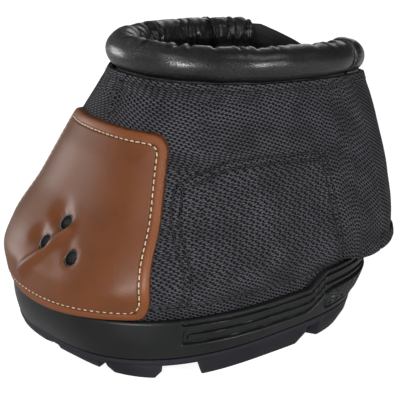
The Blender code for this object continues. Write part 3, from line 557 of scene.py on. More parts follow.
def nylonMaterial(name, style):
    material, tree, shader = startMaterial(name, Specular_IOR_Level=style["specular"])
    cloth = attribute(tree, "clothPlace", "Vector")
    yarn = useGroup(tree, yarnGroup, Place=cloth, Weft=style["weft"], Warp=style["warp"])
    rub = useGroup(tree, rubGroup, Place=objectPlace(tree), Reach=0.6)
    # mask of the sunk seam lines, for painted shade along them
    seamShade = ramp(tree, attribute(tree, "edgePlace", "Fac"), 0.8, 0, 0.0003, 0.001)
    cloth = mixColour(tree, ramp(tree, yarn["Tone"], 0, 1, 0.3, 0.7), style["dark"], style["light"])
    cloth = mixColour(tree, times(tree, rub["Mask"], 0.3), cloth, style["rubbed"])
    # painted shade: the weave's low places are darkened to the valley colour, and its gaps nearly to black
    cloth = mixColour(tree, ramp(tree, yarn["Height"], 0, 1, 0.1, 0.75), style["valleyShade"], cloth)
    cloth = mixColour(tree, ramp(tree, yarn["Float"], 1.0, 0, 0.34, 0.62), cloth, style["hole"])
    # painted shade: the cloth is darkened nearly to black along the sunk seam lines
    cloth = mixColour(tree, seamShade, cloth, style["hole"])
    rough = ramp(tree, yarn["Float"], 0.85, style["roughness"], 0.3, 0.9)
    finishMaterial(tree, shader, cloth, rough, yarn["Height"], style["relief"], 0.0005)
    return material


def hideMaterial(name, style):
    material, tree, shader = startMaterial(name, Coat_Roughness=style["coatRoughness"],
                                           Specular_IOR_Level=style["specular"])
    where = objectPlace(tree)
    grain = useGroup(tree, grainGroup, Place=where, Fineness=style["fineness"])
    rub = useGroup(tree, rubGroup, Place=where, Reach=style["rub"])
    hide = mixColour(tree, ramp(tree, grain["Tone"], 0, 1, 0.3, 0.7), style["dark"], style["light"])
    if "rim" in style:
        # a lighter rim, painted shade in the sunk seam line, and the cut edge darkened, partly its own colour and
        # partly painted shade, by the distance from the edge
        edge = attribute(tree, "edgePlace", "Fac")
        seamShade = times(tree, ramp(tree, edge, 0, 1, 0.0040, 0.0047), ramp(tree, edge, 1, 0, 0.0050, 0.0058))
        for mask, share, colour in ((ramp(tree, edge, 1, 0, 0.0040, 0.0052), 0.8, "rim"), (seamShade, 0.75, "seam"),
                                    (ramp(tree, edge, 1, 0, 0.0, 0.0006), 0.9, "cut")):
            hide = mixColour(tree, times(tree, mask, share), hide, style[colour])
    hide = mixColour(tree, rub["Mask"], hide, style["rubbed"])
    rough = timesPlus(tree, grain["Tone"], 0.08, style["roughness"] - 0.04)
    rough = timesPlus(tree, rub["Scuff"], 0.12, rough)
    feed(tree, shader["Coat Weight"], timesPlus(tree, grain["Height"], style["coat"] * 1.1, style["coat"] * 0.1))
    finishMaterial(tree, shader, hide, rough, grain["Height"], style["relief"], style["grainDepth"])
    return material


def rubberMaterial(name, style):
    material, tree, shader = startMaterial(name, Specular_IOR_Level=style["specular"])
    where = objectPlace(tree)
    rub = useGroup(tree, rubGroup, Place=where, Reach=style["rub"])
    cloud = noise(tree, where, 45, 4.0, 0.6)
    rubber = mixColour(tree, ramp(tree, cloud, 0, 1, 0.3, 0.7), style["dark"], style["light"])
    rubber = mixColour(tree, rub["Mask"], rubber, style["rubbed"])
    rubber = mixColour(tree, times(tree, rub["Scuff"], 0.3), rubber, style["rubbed"])
    rough = timesPlus(tree, rub["Scuff"], 0.15, timesPlus(tree, cloud, 0.18, style["roughness"] - 0.09))
    finishMaterial(tree, shader, rubber, rough, noise(tree, where, 2600, 3.0, 0.6), style["relief"], 0.0002)
    return material


def softMaterial(name, style):
    # napped or knitted cloth seen inside the boot and on the back flap
    material, tree, shader = startMaterial(name, Sheen_Weight=style["sheen"], Sheen_Roughness=0.6)
    where = objectPlace(tree)
    nap = noise(tree, where, style["nap"], 4.0, 0.7)
    knit = cells(tree, where, style["knit"])
    broad = noise(tree, where, 55, 3.0)
    cloth = mixColour(tree, ramp(tree, broad, 0, 1, 0.3, 0.7), style["dark"], style["light"])
    # painted shade: the knit is darkened between its loops, where its relief is low
    cloth = mixColour(tree, times(tree, ramp(tree, knit, 0, 1, 0.35, 0.6), 0.5), cloth, style["dark"])
    height = calc(tree, "SUBTRACT", nap, times(tree, knit, 0.8))
    finishMaterial(tree, shader, cloth, ramp(tree, nap, 0.82, 0.98, 0.3, 0.7), height, style["relief"], 0.00035)
    return material


def threadMaterial(name, style):
    # two-ply twist, running round and along each stitch
    material, tree, shader = startMaterial(name, Sheen_Weight=0.2)
    split = tree.nodes.new("ShaderNodeSeparateXYZ")
    feed(tree, split.inputs[0], attribute(tree, "clothPlace", "Vector"))
    turn = timesPlus(tree, split.outputs[0], 9000.0, split.outputs[1])
    ply = timesPlus(tree, calc(tree, "SINE", turn), 0.5, 0.5)
    tint = noise(tree, objectPlace(tree), 180, 3.0)
    # painted light: each ply's crest is lighter and the turn between plies darker, dimmed at random by the tint
    plyLightAndTone = times(tree, ply, ramp(tree, tint, 0.55, 1.0, 0.3, 0.7))
    thread = mixColour(tree, plyLightAndTone, style["dark"], style["light"])
    finishMaterial(tree, shader, thread, ramp(tree, tint, 0.55, 0.75, 0.3, 0.7), ply, 0.5, 0.0001)
    return material


def metalMaterial(name, style):
    material, tree, shader = startMaterial(name)
    where = objectPlace(tree)
    rub = useGroup(tree, rubGroup, Place=where, Reach=0.8)
    worn = calc(tree, "MAXIMUM", rub["Mask"], times(tree, rub["Scuff"], 0.6))
    metal = mixColour(tree, worn, style["paint"], style["bare"])
    feed(tree, shader["Metallic"], ramp(tree, worn, 0.35, 1.0, 0.3, 0.6))
    rough = ramp(tree, noise(tree, where, 700, 3.0), 0.22, 0.42, 0.3, 0.7)
    finishMaterial(tree, shader, metal, rough, noise(tree, where, 1800, 3.0), 0.15, 0.0001)
    return material


def boardMaterial(name, style):
    # pressed fibre board
    material, tree, shader = startMaterial(name)
    where = objectPlace(tree)
    fibre = noise(tree, squeezed(tree, where, 0.25), 1900, 5.0, 0.7)
    fleck = ramp(tree, cells(tree, where, 420), 1, 0, 0.05, 0.22)
    board = mixColour(tree, ramp(tree, fibre, 0, 1, 0.35, 0.65), style["dark"], style["light"])
    board = mixColour(tree, times(tree, fleck, 0.5), board, style["dark"])
    finishMaterial(tree, shader, board, ramp(tree, fibre, 0.7, 0.9, 0.3, 0.7), fibre, 0.4, 0.0002)
    return material


# the two darkest colours are painted shade: in the weave's low places, in its gaps and along its seam lines
nylon = nylonMaterial("wovenNylon", {
    "weft": 0.00109, "warp": 0.00171, "roughness": 0.5, "relief": 1.0, "specular": 0.22, "dark": (58, 58, 63),
    "light": (80, 80, 86), "valleyShade": (22, 22, 25), "hole": (1, 1, 2), "rubbed": (112, 112, 118)})
# the seam colour is painted shade in the stitch groove; the cut colour is the cut edge's own darker colour with
# painted shade in it
tanLeather = hideMaterial("tanLeather", {
    "fineness": 1300, "rub": 0.2, "relief": 0.14, "roughness": 0.45, "coat": 0.14, "coatRoughness": 0.36,
    "grainDepth": 0.0002, "specular": 0.28, "dark": (101, 55, 25), "light": (109, 60, 29), "rim": (124, 69, 34),
    "seam": (50, 28, 16), "cut": (58, 31, 18), "rubbed": (150, 96, 60)})
rollHide = hideMaterial("rollHide", {
    "fineness": 1050, "rub": 0.05, "relief": 0.7, "roughness": 0.3, "coat": 0.8, "coatRoughness": 0.3,
    "grainDepth": 0.00035, "specular": 0.26, "dark": (9, 9, 10), "light": (14, 14, 15), "rubbed": (28, 28, 30)})
cupRubber = rubberMaterial("cupRubber", {
    "rub": 0.5, "relief": 0.18, "roughness": 0.36, "specular": 0.35,
    "dark": (15, 16, 17), "light": (23, 24, 25), "rubbed": (50, 51, 53)})
treadRubber = rubberMaterial("treadRubber", {
    "rub": 0.55, "relief": 0.3, "roughness": 0.55, "specular": 0.22,
    "dark": (20, 19, 24), "light": (32, 30, 37), "rubbed": (56, 54, 62)})
softLining = softMaterial("softLining", {
    "nap": 1700, "knit": 700, "sheen": 0.25, "relief": 0.7, "dark": (20, 20, 22), "light": (38, 38, 41)})
flapCloth = softMaterial("flapCloth", {
    "nap": 2300, "knit": 1100, "sheen": 0.3, "relief": 0.55, "dark": (24, 24, 26), "light": (40, 40, 43)})
hookCloth = softMaterial("hookCloth", {
    "nap": 2600, "knit": 1450, "sheen": 0.1, "relief": 1.0, "dark": (12, 12, 13), "light": (30, 30, 33)})
creamThread = threadMaterial("creamThread", {"dark": (176, 150, 118), "light": (238, 222, 192)})
blackThread = threadMaterial("blackThread", {"dark": (12, 12, 14), "light": (46, 46, 50)})
blackMetal = metalMaterial("blackMetal", {"paint": (26, 26, 28), "bare": (150, 150, 152)})
fibreBoard = boardMaterial("fibreBoard", {"dark": (128, 112, 92), "light": (170, 154, 130)})
print("scene: materials made")


shot = {"azimuth": -39, "elevation": 19, "distance": 0.66, "lens": 126.36, "target": (-0.0088, -0.0237, 0.066)}
light = {"sky": 0.05, "skyLeft": 0.3, "skyFrom": (-0.86, 0.35, 0.37), "skyMirror": 0.1, "floorTone": 0.6,
         "floorGlow": 0.85, "floorMirror": 0.15, "floorReach": 6, "floorDrop": 0.0002}
# name, place, the height it faces, size and power
lamps = (("keyLight", (-0.85, -0.45, 0.85), 0.07, 0.5, 2.3), ("leftStrip", (-0.83, -0.69, 0.24), 0.1, 0.26, 7.8),
         ("frontStrip", (0.34, -1.03, 0.24), 0.1, 0.22, 4.3), ("backStrip", (0.75, 0.6, 0.4), 0.1, 0.4, 0.6),
         ("rimStrip", (-0.5, 1.05, 0.14), 0.1, 0.36, 4.0), ("topStrip", (0.45, -0.65, 0.85), 0.1, 0.4, 1.3))


def placeObject(name, data, place, back):
    # an object that looks away from this direction
    thing = bpy.data.objects.new(name, data)
    thing.location = place
    thing.rotation_euler = back.to_track_quat("Z", "Y").to_euler()
    scene.collection.objects.link(thing)
    return thing


def rayKinds(tree):
    # 1 on the camera's own rays, and 1 on mirrored and refracted ones
    rays = tree.nodes.new("ShaderNodeLightPath").outputs
    return rays["Is Camera Ray"], calc(tree, "MAXIMUM", rays["Is Glossy Ray"], rays["Is Transmission Ray"])


def setCamera():
    turn, rise = math.radians(shot["azimuth"]), math.radians(shot["elevation"])
    back = Vector((math.sin(turn) * math.cos(rise), -math.cos(turn) * math.cos(rise), math.sin(rise)))
    lens = bpy.data.cameras.new("camera")
    lens.sensor_width = 36
    lens.lens = shot["lens"]
    scene.camera = placeObject("camera", lens, Vector(shot["target"]) + back * shot["distance"], back)
    scene.view_settings.view_transform = "Standard"


def layFloor():
    # pale floor that is bright to the camera and dim in mirrored rays
    mesh = bpy.data.meshes.new("floor")
    far, z = light["floorReach"], -light["floorDrop"]
    mesh.from_pydata([(-far, -far, z), (far, -far, z), (far, far, z), (-far, far, z)], [], [(0, 1, 2, 3)])
    floor = bpy.data.objects.new("floor", mesh)
    scene.collection.objects.link(floor)
    material, tree, shader = startMaterial("paleFloor", Roughness=0.9)
    shader["Base Color"].default_value = (*[light["floorTone"]] * 3, 1)
    seen, mirrored = rayKinds(tree)
    glow = tree.nodes.new("ShaderNodeEmission")
    seen = calc(tree, "MAXIMUM", seen, times(tree, mirrored, light["floorMirror"]))
    feed(tree, glow.inputs["Strength"], times(tree, seen, light["floorGlow"]))
    both = tree.nodes.new("ShaderNodeAddShader")
    feed(tree, both.inputs[0], tree.nodes["Principled BSDF"].outputs[0])
    feed(tree, both.inputs[1], glow.outputs[0])
    feed(tree, tree.nodes["Material Output"].inputs["Surface"], both.outputs[0])
    mesh.materials.append(material)


def setWorld():
    # white to the camera; its light is stronger from one side
    world = bpy.data.worlds.new("studio")
    world.use_nodes = True
    scene.world = world
    sky = world.node_tree
    seen, mirrored = rayKinds(sky)
    towards = sky.nodes.new("ShaderNodeVectorMath")
    towards.operation = "DOT_PRODUCT"
    feed(sky, towards.inputs[0], sky.nodes.new("ShaderNodeTexCoord").outputs["Generated"])
    towards.inputs[1].default_value = light["skyFrom"]
    soft = ramp(sky, towards.outputs["Value"], light["sky"], light["skyLeft"], -0.25, 1.0)
    soft = times(sky, soft, timesPlus(sky, mirrored, light["skyMirror"], 1.0))
    background = sky.nodes["Background"].inputs
    feed(sky, background["Strength"], calc(sky, "MAXIMUM", seen, soft))
    background["Color"].default_value = (1, 1, 1, 1)


setCamera()
layFloor()
setWorld()
for name, place, faces, size, power in lamps:
    lamp = bpy.data.lights.new(name, "AREA")
    lamp.energy, lamp.size = power, size
    placeObject(name, lamp, place, Vector(place) - Vector((0, 0, faces)))
print("scene: camera, floor and lights set")


# the sole cup's moulded side wall
cup = {
    "rows": 62, "columns": 250, "footRound": 0.0009, "topRound": 0.0006, "clear": 0.0007, "seatDrop": 0.0018,
    # share of the way in over the rim, and how far it drops there
    "rimSteps": ((0.12, 0.00025), (0.24, 0.0), (0.5, 0.0), (0.8, 0.0001), (1.0, 0.0009)),
    "channelStart": -0.049, "channelDepth": 0.0122, "field": 0.00045, "lump": 0.00013,
    # grooves of the channel: depth below the rim, half width and how far back they start
    "groove": 0.0017, "grooves": ((0.0021, 0.00055, 0.0), (0.0061, 0.00075, 0.0006), (0.0105, 0.00085, 0.0006)),
    "endGroove": (0.0019, 0.0009, 0.0008),
    "gripPanel": (0.034, 0.0152, 0.0238), "gripTilt": 0.03, "gripProud": 0.00045, "gripMoat": 0.0011,
    "slotStart": 0.0385, "slotPitch": 0.0048, "slotCount": 6, "slotHalf": 0.00095, "slotLean": 0.22,
    "slotDepth": 0.0018, "slotShare": 0.72,
}
lipOutline = outline(boot["soleToe"], boot["soleHeel"], boot["soleHalfWidth"], boot["widest"], *boot["lipSquare"])


def treadOutline(depth):
    return outline(boot["treadToe"] - depth, boot["treadHeel"] - depth, boot["treadHalfWidth"] - depth,
                   boot["widest"], *boot["partingSquare"])


def floorOutline(depth):
    return outline(0.9 * boot["soleToe"] - depth, 0.9 * boot["soleHeel"] - depth,
                   0.89 * boot["soleHalfWidth"] - depth, boot["widest"], *boot["lipSquare"])


def heelStep(x):
    return smooth((x - boot["stepStart"]) / boot["stepLength"])


def rimHeight(x):
    return boot["lip"] + boot["rimRise"] * heelStep(x)


def partingHeight(x):
    mix = (x + boot["soleToe"]) / (boot["soleToe"] + boot["soleHeel"])
    return boot["partingToe"] + (boot["partingHeel"] - boot["partingToe"]) * mix


def groove(distance, half, wall=0.0004):
    # 1 on a flat-bottomed line, falling to 0 up its soft walls
    return smooth((half + wall - np.abs(distance)) / wall)


def gripRelief(x, z, depth):
    # the raised panel near the heel, with a moat round it and leaning slots
    left, bottom, top = cup["gripPanel"]
    middle, half = (bottom + top) / 2 + (x - left) * cup["gripTilt"], (top - bottom) / 2
    reach = np.hypot(np.minimum(x - left - half, 0), z - middle) - half
    onPanel = smooth(-reach / 0.0006)
    depth = depth * (1 - onPanel) - cup["gripProud"] * onPanel
    depth += cup["gripMoat"] * bump(reach - 0.0005, 0.0005) * smooth((x - left + 0.004) / 0.003)
    for k in range(cup["slotCount"]):
        centre = cup["slotStart"] + k * cup["slotPitch"] + (z - middle) * cup["slotLean"]
        ends = smooth((half * cup["slotShare"] - np.abs(z - middle)) / 0.0006)
        depth += cup["slotDepth"] * groove(x - centre, cup["slotHalf"], 0.0005) * ends
    return depth


def cupRelief(x, z, run):
    # how far the side wall is cut in at a place, in metres
    below = rimHeight(x) - z
    past = smooth((x - cup["channelStart"]) / 0.0005)
    depth = past * smooth((cup["channelDepth"] - below) / 0.0006) * cup["field"]
    for at, half, inset in cup["grooves"]:
        begin = smooth((x - cup["channelStart"] - inset) / 0.0005)
        depth = np.maximum(depth, cup["groove"] * groove(below - at, half) * begin)
    inset, half, over = cup["endGroove"]
    top, low = cup["grooves"][1][0] - over, cup["grooves"][2][0] + over
    inside = smooth((below - top) / 0.0004) * smooth((low - below) / 0.0004)
    depth = np.maximum(depth, cup["groove"] * groove(x - cup["channelStart"] - inset, half) * inside)
    lumps = np.sin(run * 1450 + 2 * np.sin(run * 410)) * np.sin(z * 900 + run * 300)
    depth += cup["lump"] * lumps * past * smooth((0.0118 - below) / 0.001) * (1 - heelStep(x))
    return gripRelief(x, z, depth)


def cupShares():
    # shares round the lip, closer together where the grip panel and the channel's end are
    even = np.linspace(0, 1, cup["columns"])
    grip = shareAtX(lipOutline, np.linspace(0.030, 0.0685, 110))
    start = shareAtX(lipOutline, np.linspace(cup["channelStart"] - 0.0006, cup["channelStart"] + 0.0042, 22))
    half = np.unique(np.round(np.concatenate([even, grip, start]), 5))
    half = half[np.concatenate([[True], np.diff(half) > 0.0006])]
    half[-1] = 1.0
    return np.concatenate([half, 2 - half[1:-1][::-1]])


def buildSoleCup():
    shares = cupShares()
    lip, parting = outlinePoints(lipOutline, shares), outlinePoints(partingOutline, shares)
    x, high = lip[:, 0], rimHeight(lip[:, 0])
    rows = []
    for h in np.linspace(0, 0.965, cup["rows"]):
        flat = parting + (lip - parting) * math.sin(0.5 * math.pi * min(1.0, h * 1.25))
        z = partingHeight(x) + (high - partingHeight(x)) * h
        depth = cupRelief(x, z, shares * lipOutline["girth"]) + cup["footRound"] * (1 - smooth(h / 0.05))
        depth += cup["topRound"] * (1 - smooth((1.0 - h) / 0.05))
        rows.append(np.column_stack([flat * (1 - depth / np.hypot(*flat.T))[:, None], z]))
    wall, rim = (outlinePoints(upperOutline(level, -cup["clear"]), shares) for level in (0.0, 0.066))
    base = outlinePoints(floorOutline(-cup["clear"]), shares)
    rise = (high - boot["lip"]) / boot["rimRise"]
    inner = wall + (rim - wall) * rise[:, None]
    for mix, drop in cup["rimSteps"]:
        rows.append(np.column_stack([lip + (inner - lip) * mix, high - drop]))
    seat = boot["lip"] - cup["seatDrop"] + cup["seatDrop"] * rise
    mix = (seat - boot["floor"]) / (boot["lip"] - boot["floor"])
    rows.append(np.column_stack([base + (wall - base) * mix[:, None], seat]))
    rows.append(np.column_stack([base, np.full(len(shares), boot["floor"])]))
    return ringPiece("soleCup", rows, cupRubber)


partingOutline = treadOutline(0)
wear(buildSoleCup(), "boot", "cup_rubber", "sole_cup")
print("scene: sole cup made")


# the tread's plate and lugs
tread = {
    "plate": 0.0035, "lugDepth": 0.019, "sink": 0.0012, "slant": 0.003, "bevel": 0.0007,
    "toeDraft": 0.0069, "heelDraft": 0.0077, "sideDraft": 0.0026,
    # the lugs of one side, as shares from toe to heel
    "spans": ((0.02, 0.135), (0.147, 0.258), (0.325, 0.588), (0.625, 0.950)),
    "padRadius": 0.015, "blockLength": 0.015, "blockWidth": 0.009, "blockRing": 0.031, "blockCount": 6,
    # how far the plate's side is in, and at which share of its depth
    "plateSteps": ((0.0022, 1.0), (0.0012, 0.93), (0.0004, 0.75), (0.0, 0.5), (0.0, 0.12), (0.0004, 0.0)),
}


def bevelled(thing):
    shell = bmesh.new()
    shell.from_mesh(thing.data)
    sharp = [e for e in shell.edges if len(e.link_faces) == 2 and e.calc_face_angle() > math.radians(35)]
    bmesh.ops.bevel(shell, geom=sharp, offset=tread["bevel"], segments=2, profile=0.6, affect="EDGES")
    shell.to_mesh(thing.data)
    shell.free()
    return thing


def lugTop(x):
    return partingHeight(x) - tread["plate"] + tread["sink"]


def lugFoot(depth):
    return outline(boot["treadToe"] - tread["toeDraft"] - depth, boot["treadHeel"] - tread["heelDraft"] - depth,
                   boot["treadHalfWidth"] - tread["sideDraft"] - depth, 0, 3.2, 3.2)


def lugPiece(start, end):
    clear = 1.5 * boot["gap"]
    slant = tread["slant"] / lugFoot(0)["girth"]
    count = max(6, int((end - start) * partingOutline["girth"] / 0.003))
    feet, tops = np.linspace(start + slant, end - slant, count), np.linspace(start, end, count)
    lowOut, lowIn = (outlinePoints(lugFoot(depth), feet) for depth in (0, tread["lugDepth"]))
    highOut, highIn = (outlinePoints(treadOutline(depth), tops)
                       for depth in (clear, tread["lugDepth"] + tread["slant"] + clear))
    top = lugTop(highOut[:, 0])
    corners = ((lowOut, 0), (lowOut + (highOut - lowOut) * 0.75, 0.55), (highOut, 1),
               (highIn, 1), (lowIn + (highIn - lowIn) * 0.5, 0.55), (lowIn, 0))
    rings = np.stack([np.column_stack([flat, top * share]) for flat, share in corners], 1)
    return bevelled(ringPiece("lug", rings, treadRubber))


def prismPiece(flat, high, taper):
    flat = np.array(flat)
    middle = flat.mean(0)
    reach = np.linalg.norm(flat - middle, axis=1, keepdims=True)
    foot = middle + (flat - middle) * (1 - taper / reach)
    rings = [np.column_stack([corners, np.full(len(flat), z)]) for corners, z in ((foot, 0), (flat, high))]
    return bevelled(ringPiece("lug", rings, treadRubber))


def middleLugs():
    # the six-sided pad and the blocks round it
    six = [(tread["padRadius"] * math.cos(k * math.pi / 3), tread["padRadius"] * math.sin(k * math.pi / 3))
           for k in range(6)]
    lugs = [prismPiece(six, lugTop(0), tread["slant"] / 2)]
    for k in range(tread["blockCount"]):
        angle = 2 * math.pi * (k + 0.5) / tread["blockCount"]
        c, s = math.cos(angle), math.sin(angle)
        flat = []
        for u, v in ((-0.5, -0.5), (0.5, -0.5), (0.5, 0.5), (-0.5, 0.5)):
            along, across = tread["blockRing"] + u * tread["blockWidth"], v * tread["blockLength"]
            flat.append((along * c - across * s, along * s + across * c))
        lugs.append(prismPiece(flat, lugTop(tread["blockRing"] * c), tread["slant"] / 3))
    return lugs


def joinLugs(plate, lugs):
    for lug in lugs:
        join = plate.modifiers.new("join", "BOOLEAN")
        join.operation = "UNION"
        join.solver = "EXACT"
        join.object = lug
    old = plate.data
    ready = plate.evaluated_get(bpy.context.evaluated_depsgraph_get())
    mesh = bpy.data.meshes.new_from_object(ready)
    plate.modifiers.clear()
    plate.data = mesh
    bpy.data.meshes.remove(old)
    for lug in lugs:
        bpy.data.objects.remove(lug)


def buildTread():
    flat = outlinePoints(treadOutline(boot["gap"]), np.linspace(0, 2, 160, endpoint=False))
    top = partingHeight(flat[:, 0]) - boot["gap"]
    rows = []
    for inset, drop in tread["plateSteps"]:
        scale = 1 - inset / np.hypot(*flat.T)
        rows.append(np.column_stack([flat * scale[:, None], top - tread["plate"] * drop]))
    plate = ringPiece("treadOutsole", rows, treadRubber)
    lugs = []
    for start, end in tread["spans"]:
        lugs += [lugPiece(start, end), lugPiece(2 - end, 2 - start)]
    joinLugs(plate, lugs + middleLugs())
    plate.data.shade_smooth()
    plate.data.set_sharp_from_angle(angle=math.radians(35))
    return plate


wear(buildTread(), "boot", "tread_rubber", "tread_outsole")
print("scene: tread made")


# the leather patch on the toe
patch = {
    "rows": 104, "rowCrowding": 0.045, "columns": 150, "columnCrowding": 1.12, "thickness": 0.0022, "topHeight": 0.105,
    "topHalf": 0.0385, "footHalf": 0.0655, "bow": 0.0035, "bowPower": 0.6, "cornerIn": 0.0054, "cornerShare": 0.19,
    "corner": 0.0078, "edgeRound": 0.001, "seam": 0.0046, "seamDepth": 0.0005, "rimSwell": 0.0002, "swell": 0.0005,
    "lipReach": 0.016, "lipWidth": 0.056, "lipOut": 0.0021, "lipDown": 0.0022,
    "ventRadius": 0.004, "ventDip": 0.00045, "ridgeWidth": 0.0029, "ridgeRise": 0.0017,
    # places: girth from the front seam, and height
    "vents": ((0.003, 0.062), (0.0175, 0.051), (-0.0035, 0.0525)),
    "ridge": ((0.0085, 0.061), (0.0040, 0.0565), (0.0010, 0.0535), (-0.0040, 0.0475), (-0.0085, 0.0435),
              (-0.013, 0.0395)),
    # a place, then a width and how far the leather stands out there
    "hollows": ((-0.0040, 0.0655, 0.0056, -0.0025), (-0.0105, 0.0555, 0.0050, -0.0023),
                (0.0125, 0.0565, 0.0042, -0.0009), (0.0100, 0.0460, 0.0070, -0.0005)),
}
patchFace = -boot["gap"] - patch["thickness"]
patchRise = topHeight(boot["toeTopX"]) - boot["lip"]
patchFoot, patchTop = 2 * boot["gap"] / patchRise, (patch["topHeight"] - boot["lip"]) / patchRise


def patchHalf(level):
    # half the patch's girth: its sides are bowed, most below the middle
    mix = np.clip((level - patchFoot) / (patchTop - patchFoot), 0, 1)
    return (patch["footHalf"] + (patch["topHalf"] - patch["footHalf"]) * mix
            + patch["bow"] * np.sin(math.pi * mix ** patch["bowPower"]) * (1 - 1.6 * mix)
            - patch["cornerIn"] * smooth((patch["cornerShare"] - mix) / patch["cornerShare"]))


def cornerCut(radius, edge):
    # how far a rounded corner is in, this far from the edge
    return radius - math.sqrt(max(0, radius ** 2 - (radius - edge) ** 2)) if edge < radius else 0


def overLip(points):
    # the patch's foot bulges out and hangs a little over the cup's lip at the toe
    low = smooth((boot["lip"] + patch["lipReach"] - points[..., 2]) / patch["lipReach"])
    low = low * smooth((patch["lipWidth"] - np.abs(points[..., 1])) / patch["lipWidth"])
    away = points - np.array([boot["middleX"], 0, 0])
    away[..., 2] = 0
    away /= np.linalg.norm(away, axis=-1, keepdims=True)
    return points + low[..., None] * (away * patch["lipOut"] - np.array([0, 0, patch["lipDown"]]))


def patchSheet(depth):
    # grid of points on the patch, closer at its edges, which stand square to the upper
    t = np.linspace(0, 1, patch["rows"])
    t = t - patch["rowCrowding"] * np.sin(2 * math.pi * t)
    a = np.linspace(-1, 1, patch["columns"])
    a = np.sign(a) * (1 - (1 - np.abs(a)) ** patch["columnCrowding"])
    rows = []
    for level in patchFoot + (patchTop - patchFoot) * t:
        edge = min(level - patchFoot, patchTop - level) * patchRise
        half = patchHalf(level) - cornerCut(patch["corner"], edge)
        rows.append(upperRow(level, depth, a * half / upperOutline(level, patchFace)["girth"]))
    return np.array(rows)


def ventFrames():
    # each vent's centre and the direction that it faces
    frames = []
    step = patch["ventRadius"]
    for girth, height in patch["vents"]:
        along = toePoint(height, girth + step, 0) - toePoint(height, girth - step, 0)
        up = toePoint(height + step, girth, 0) - toePoint(height - step, girth, 0)
        outward = np.cross(up, along)
        outward /= np.linalg.norm(outward)
        frames.append((toePoint(height, girth, 0), outward if outward[0] < 0 else -outward))
    return frames


def fromAxis(points, centre, axis):
    # how far along an axis points lie, and the way out to them
    along = (points - centre) @ axis
    return along, points - centre - along[..., None] * axis


def punch(sheets, radius):
    # round the vents' edges in matching sheets, and mark the cells that stay
    keep = np.ones([n - 1 for n in sheets[0].shape[:2]], bool)
    for centre, axis in vents:
        along, away = fromAxis(sheets[0], centre, axis)
        inside = (np.linalg.norm(away, axis=-1) < radius) & (np.abs(along) < 0.012)
        gone = inside[:-1, :-1] & inside[1:, :-1] & inside[:-1, 1:] & inside[1:, 1:]
        keep &= ~gone
        touched = np.zeros_like(inside)
        for r, c in zip(*np.nonzero(gone)):
            touched[r:r + 2, c:c + 2] = True
        for sheet in sheets:
            along, away = fromAxis(sheet, centre, axis)
            scale = radius / np.maximum(np.linalg.norm(away, axis=-1), 1e-5)
            moved = centre + along[..., None] * axis + away * scale[..., None]
            sheet[touched] = moved[touched]
    return keep


vents = ventFrames()
patchOuter, patchInner = patchSheet(patchFace), patchSheet(-boot["gap"])
patchBorder = evenPath(np.concatenate([patchOuter[0], patchOuter[1:, -1], patchOuter[-1, ::-1],
                                       patchOuter[::-1, 0]]))


def buildPatch():
    outer, inner = patchOuter.copy(), patchInner.copy()
    edge = distanceTo(outer, patchBorder)
    swell = -patch["thickness"] * 0.6 * rounding(edge / patch["edgeRound"])
    swell += patch["rimSwell"] * smooth((0.0042 - edge) / 0.0012) * smooth(edge / 0.0015)
    swell -= patch["seamDepth"] * bump(edge - patch["seam"], 0.0005)
    swell += patch["swell"] * smooth((edge - 0.0055) / 0.012)
    clear = smooth((edge - 0.006) / 0.004)
    for girth, height, width, amount in patch["hollows"]:
        spot = toePoint(height, girth, patchFace)
        swell += amount * bump(np.linalg.norm(outer - spot, axis=-1), width) * clear
    ridge = curvedPath([toePoint(height, girth, patchFace) for girth, height in patch["ridge"]])
    swell += patch["ridgeRise"] * bump(distanceTo(outer, ridge), patch["ridgeWidth"]) * clear
    for centre, axis in vents:
        reach = np.linalg.norm(fromAxis(outer, centre, axis)[1], axis=-1)
        swell -= patch["ventDip"] * bump(reach - patch["ventRadius"], 0.0013)
    outer, inner = overLip(outer + outwardNormals(outer, 0.05) * swell[..., None]), overLip(inner)
    keep = punch([outer, inner], patch["ventRadius"] + 0.0002)
    # the distance from the edge, which the leather reads for its rim, its painted seam shade and its darkened cut edge
    return panelPiece("toePatch", outer, inner, tanLeather, edge=edge, keep=keep)


def upperNormals(points):
    # outward directions of the upper at points on it
    out = []
    for x, y, z in points:
        level = float(np.clip(levelOf(x, z), 0.0, 1.0))
        ring = upperOutline(level, 0)
        share = shareAtX(ring, x)
        if x < -0.06 or abs(y) < 0.02:
            # the toe is nearly square to x, so y tells the share there
            share = np.interp(abs(y), ring["y"][:60], ring["run"][:60]) / ring["girth"]
        share = share if y < 0 else -share
        up = upperRow(min(1.0, level + 0.02), 0, share) - upperRow(max(0.0, level - 0.02), 0, share)
        along = upperRow(level, 0, share + 0.004) - upperRow(level, 0, share - 0.004)
        n = np.cross(up, along)
        n /= max(np.linalg.norm(n), 1e-12)
        out.append(n if n @ (np.array([x, y, z]) - np.array([boot["middleX"], 0, 0.05])) > 0 else -n)
    return np.array(out)


def patchSeam():
    # the line of stitching a little inside the patch's edge, with its outward directions
    inset = patch["seam"]
    low, high = patchFoot + inset / patchRise, patchTop - inset / patchRise * 0.93
    near = []
    for level in np.linspace(low, high, 60):
        lift = min(level - low, high - level) * patchRise
        near.append((level, patchHalf(level) - inset * 1.02 - cornerCut(patch["corner"] * 0.55, lift)))
    across = np.linspace(1, -1, 60)[1:-1]
    places = near + [(high, near[-1][1] * a) for a in across]
    places += [(level, -girth) for level, girth in reversed(near)]
    places += [(low, -near[0][1] * a) for a in across] + near[:1]
    path = evenPath([upperRow(level, patchFace, girth / upperOutline(level, patchFace)["girth"])
                     for level, girth in places], 0.0005)
    outward = upperNormals(path)
    return overLip(path - outward * (patch["seamDepth"] - 0.0002)), outward


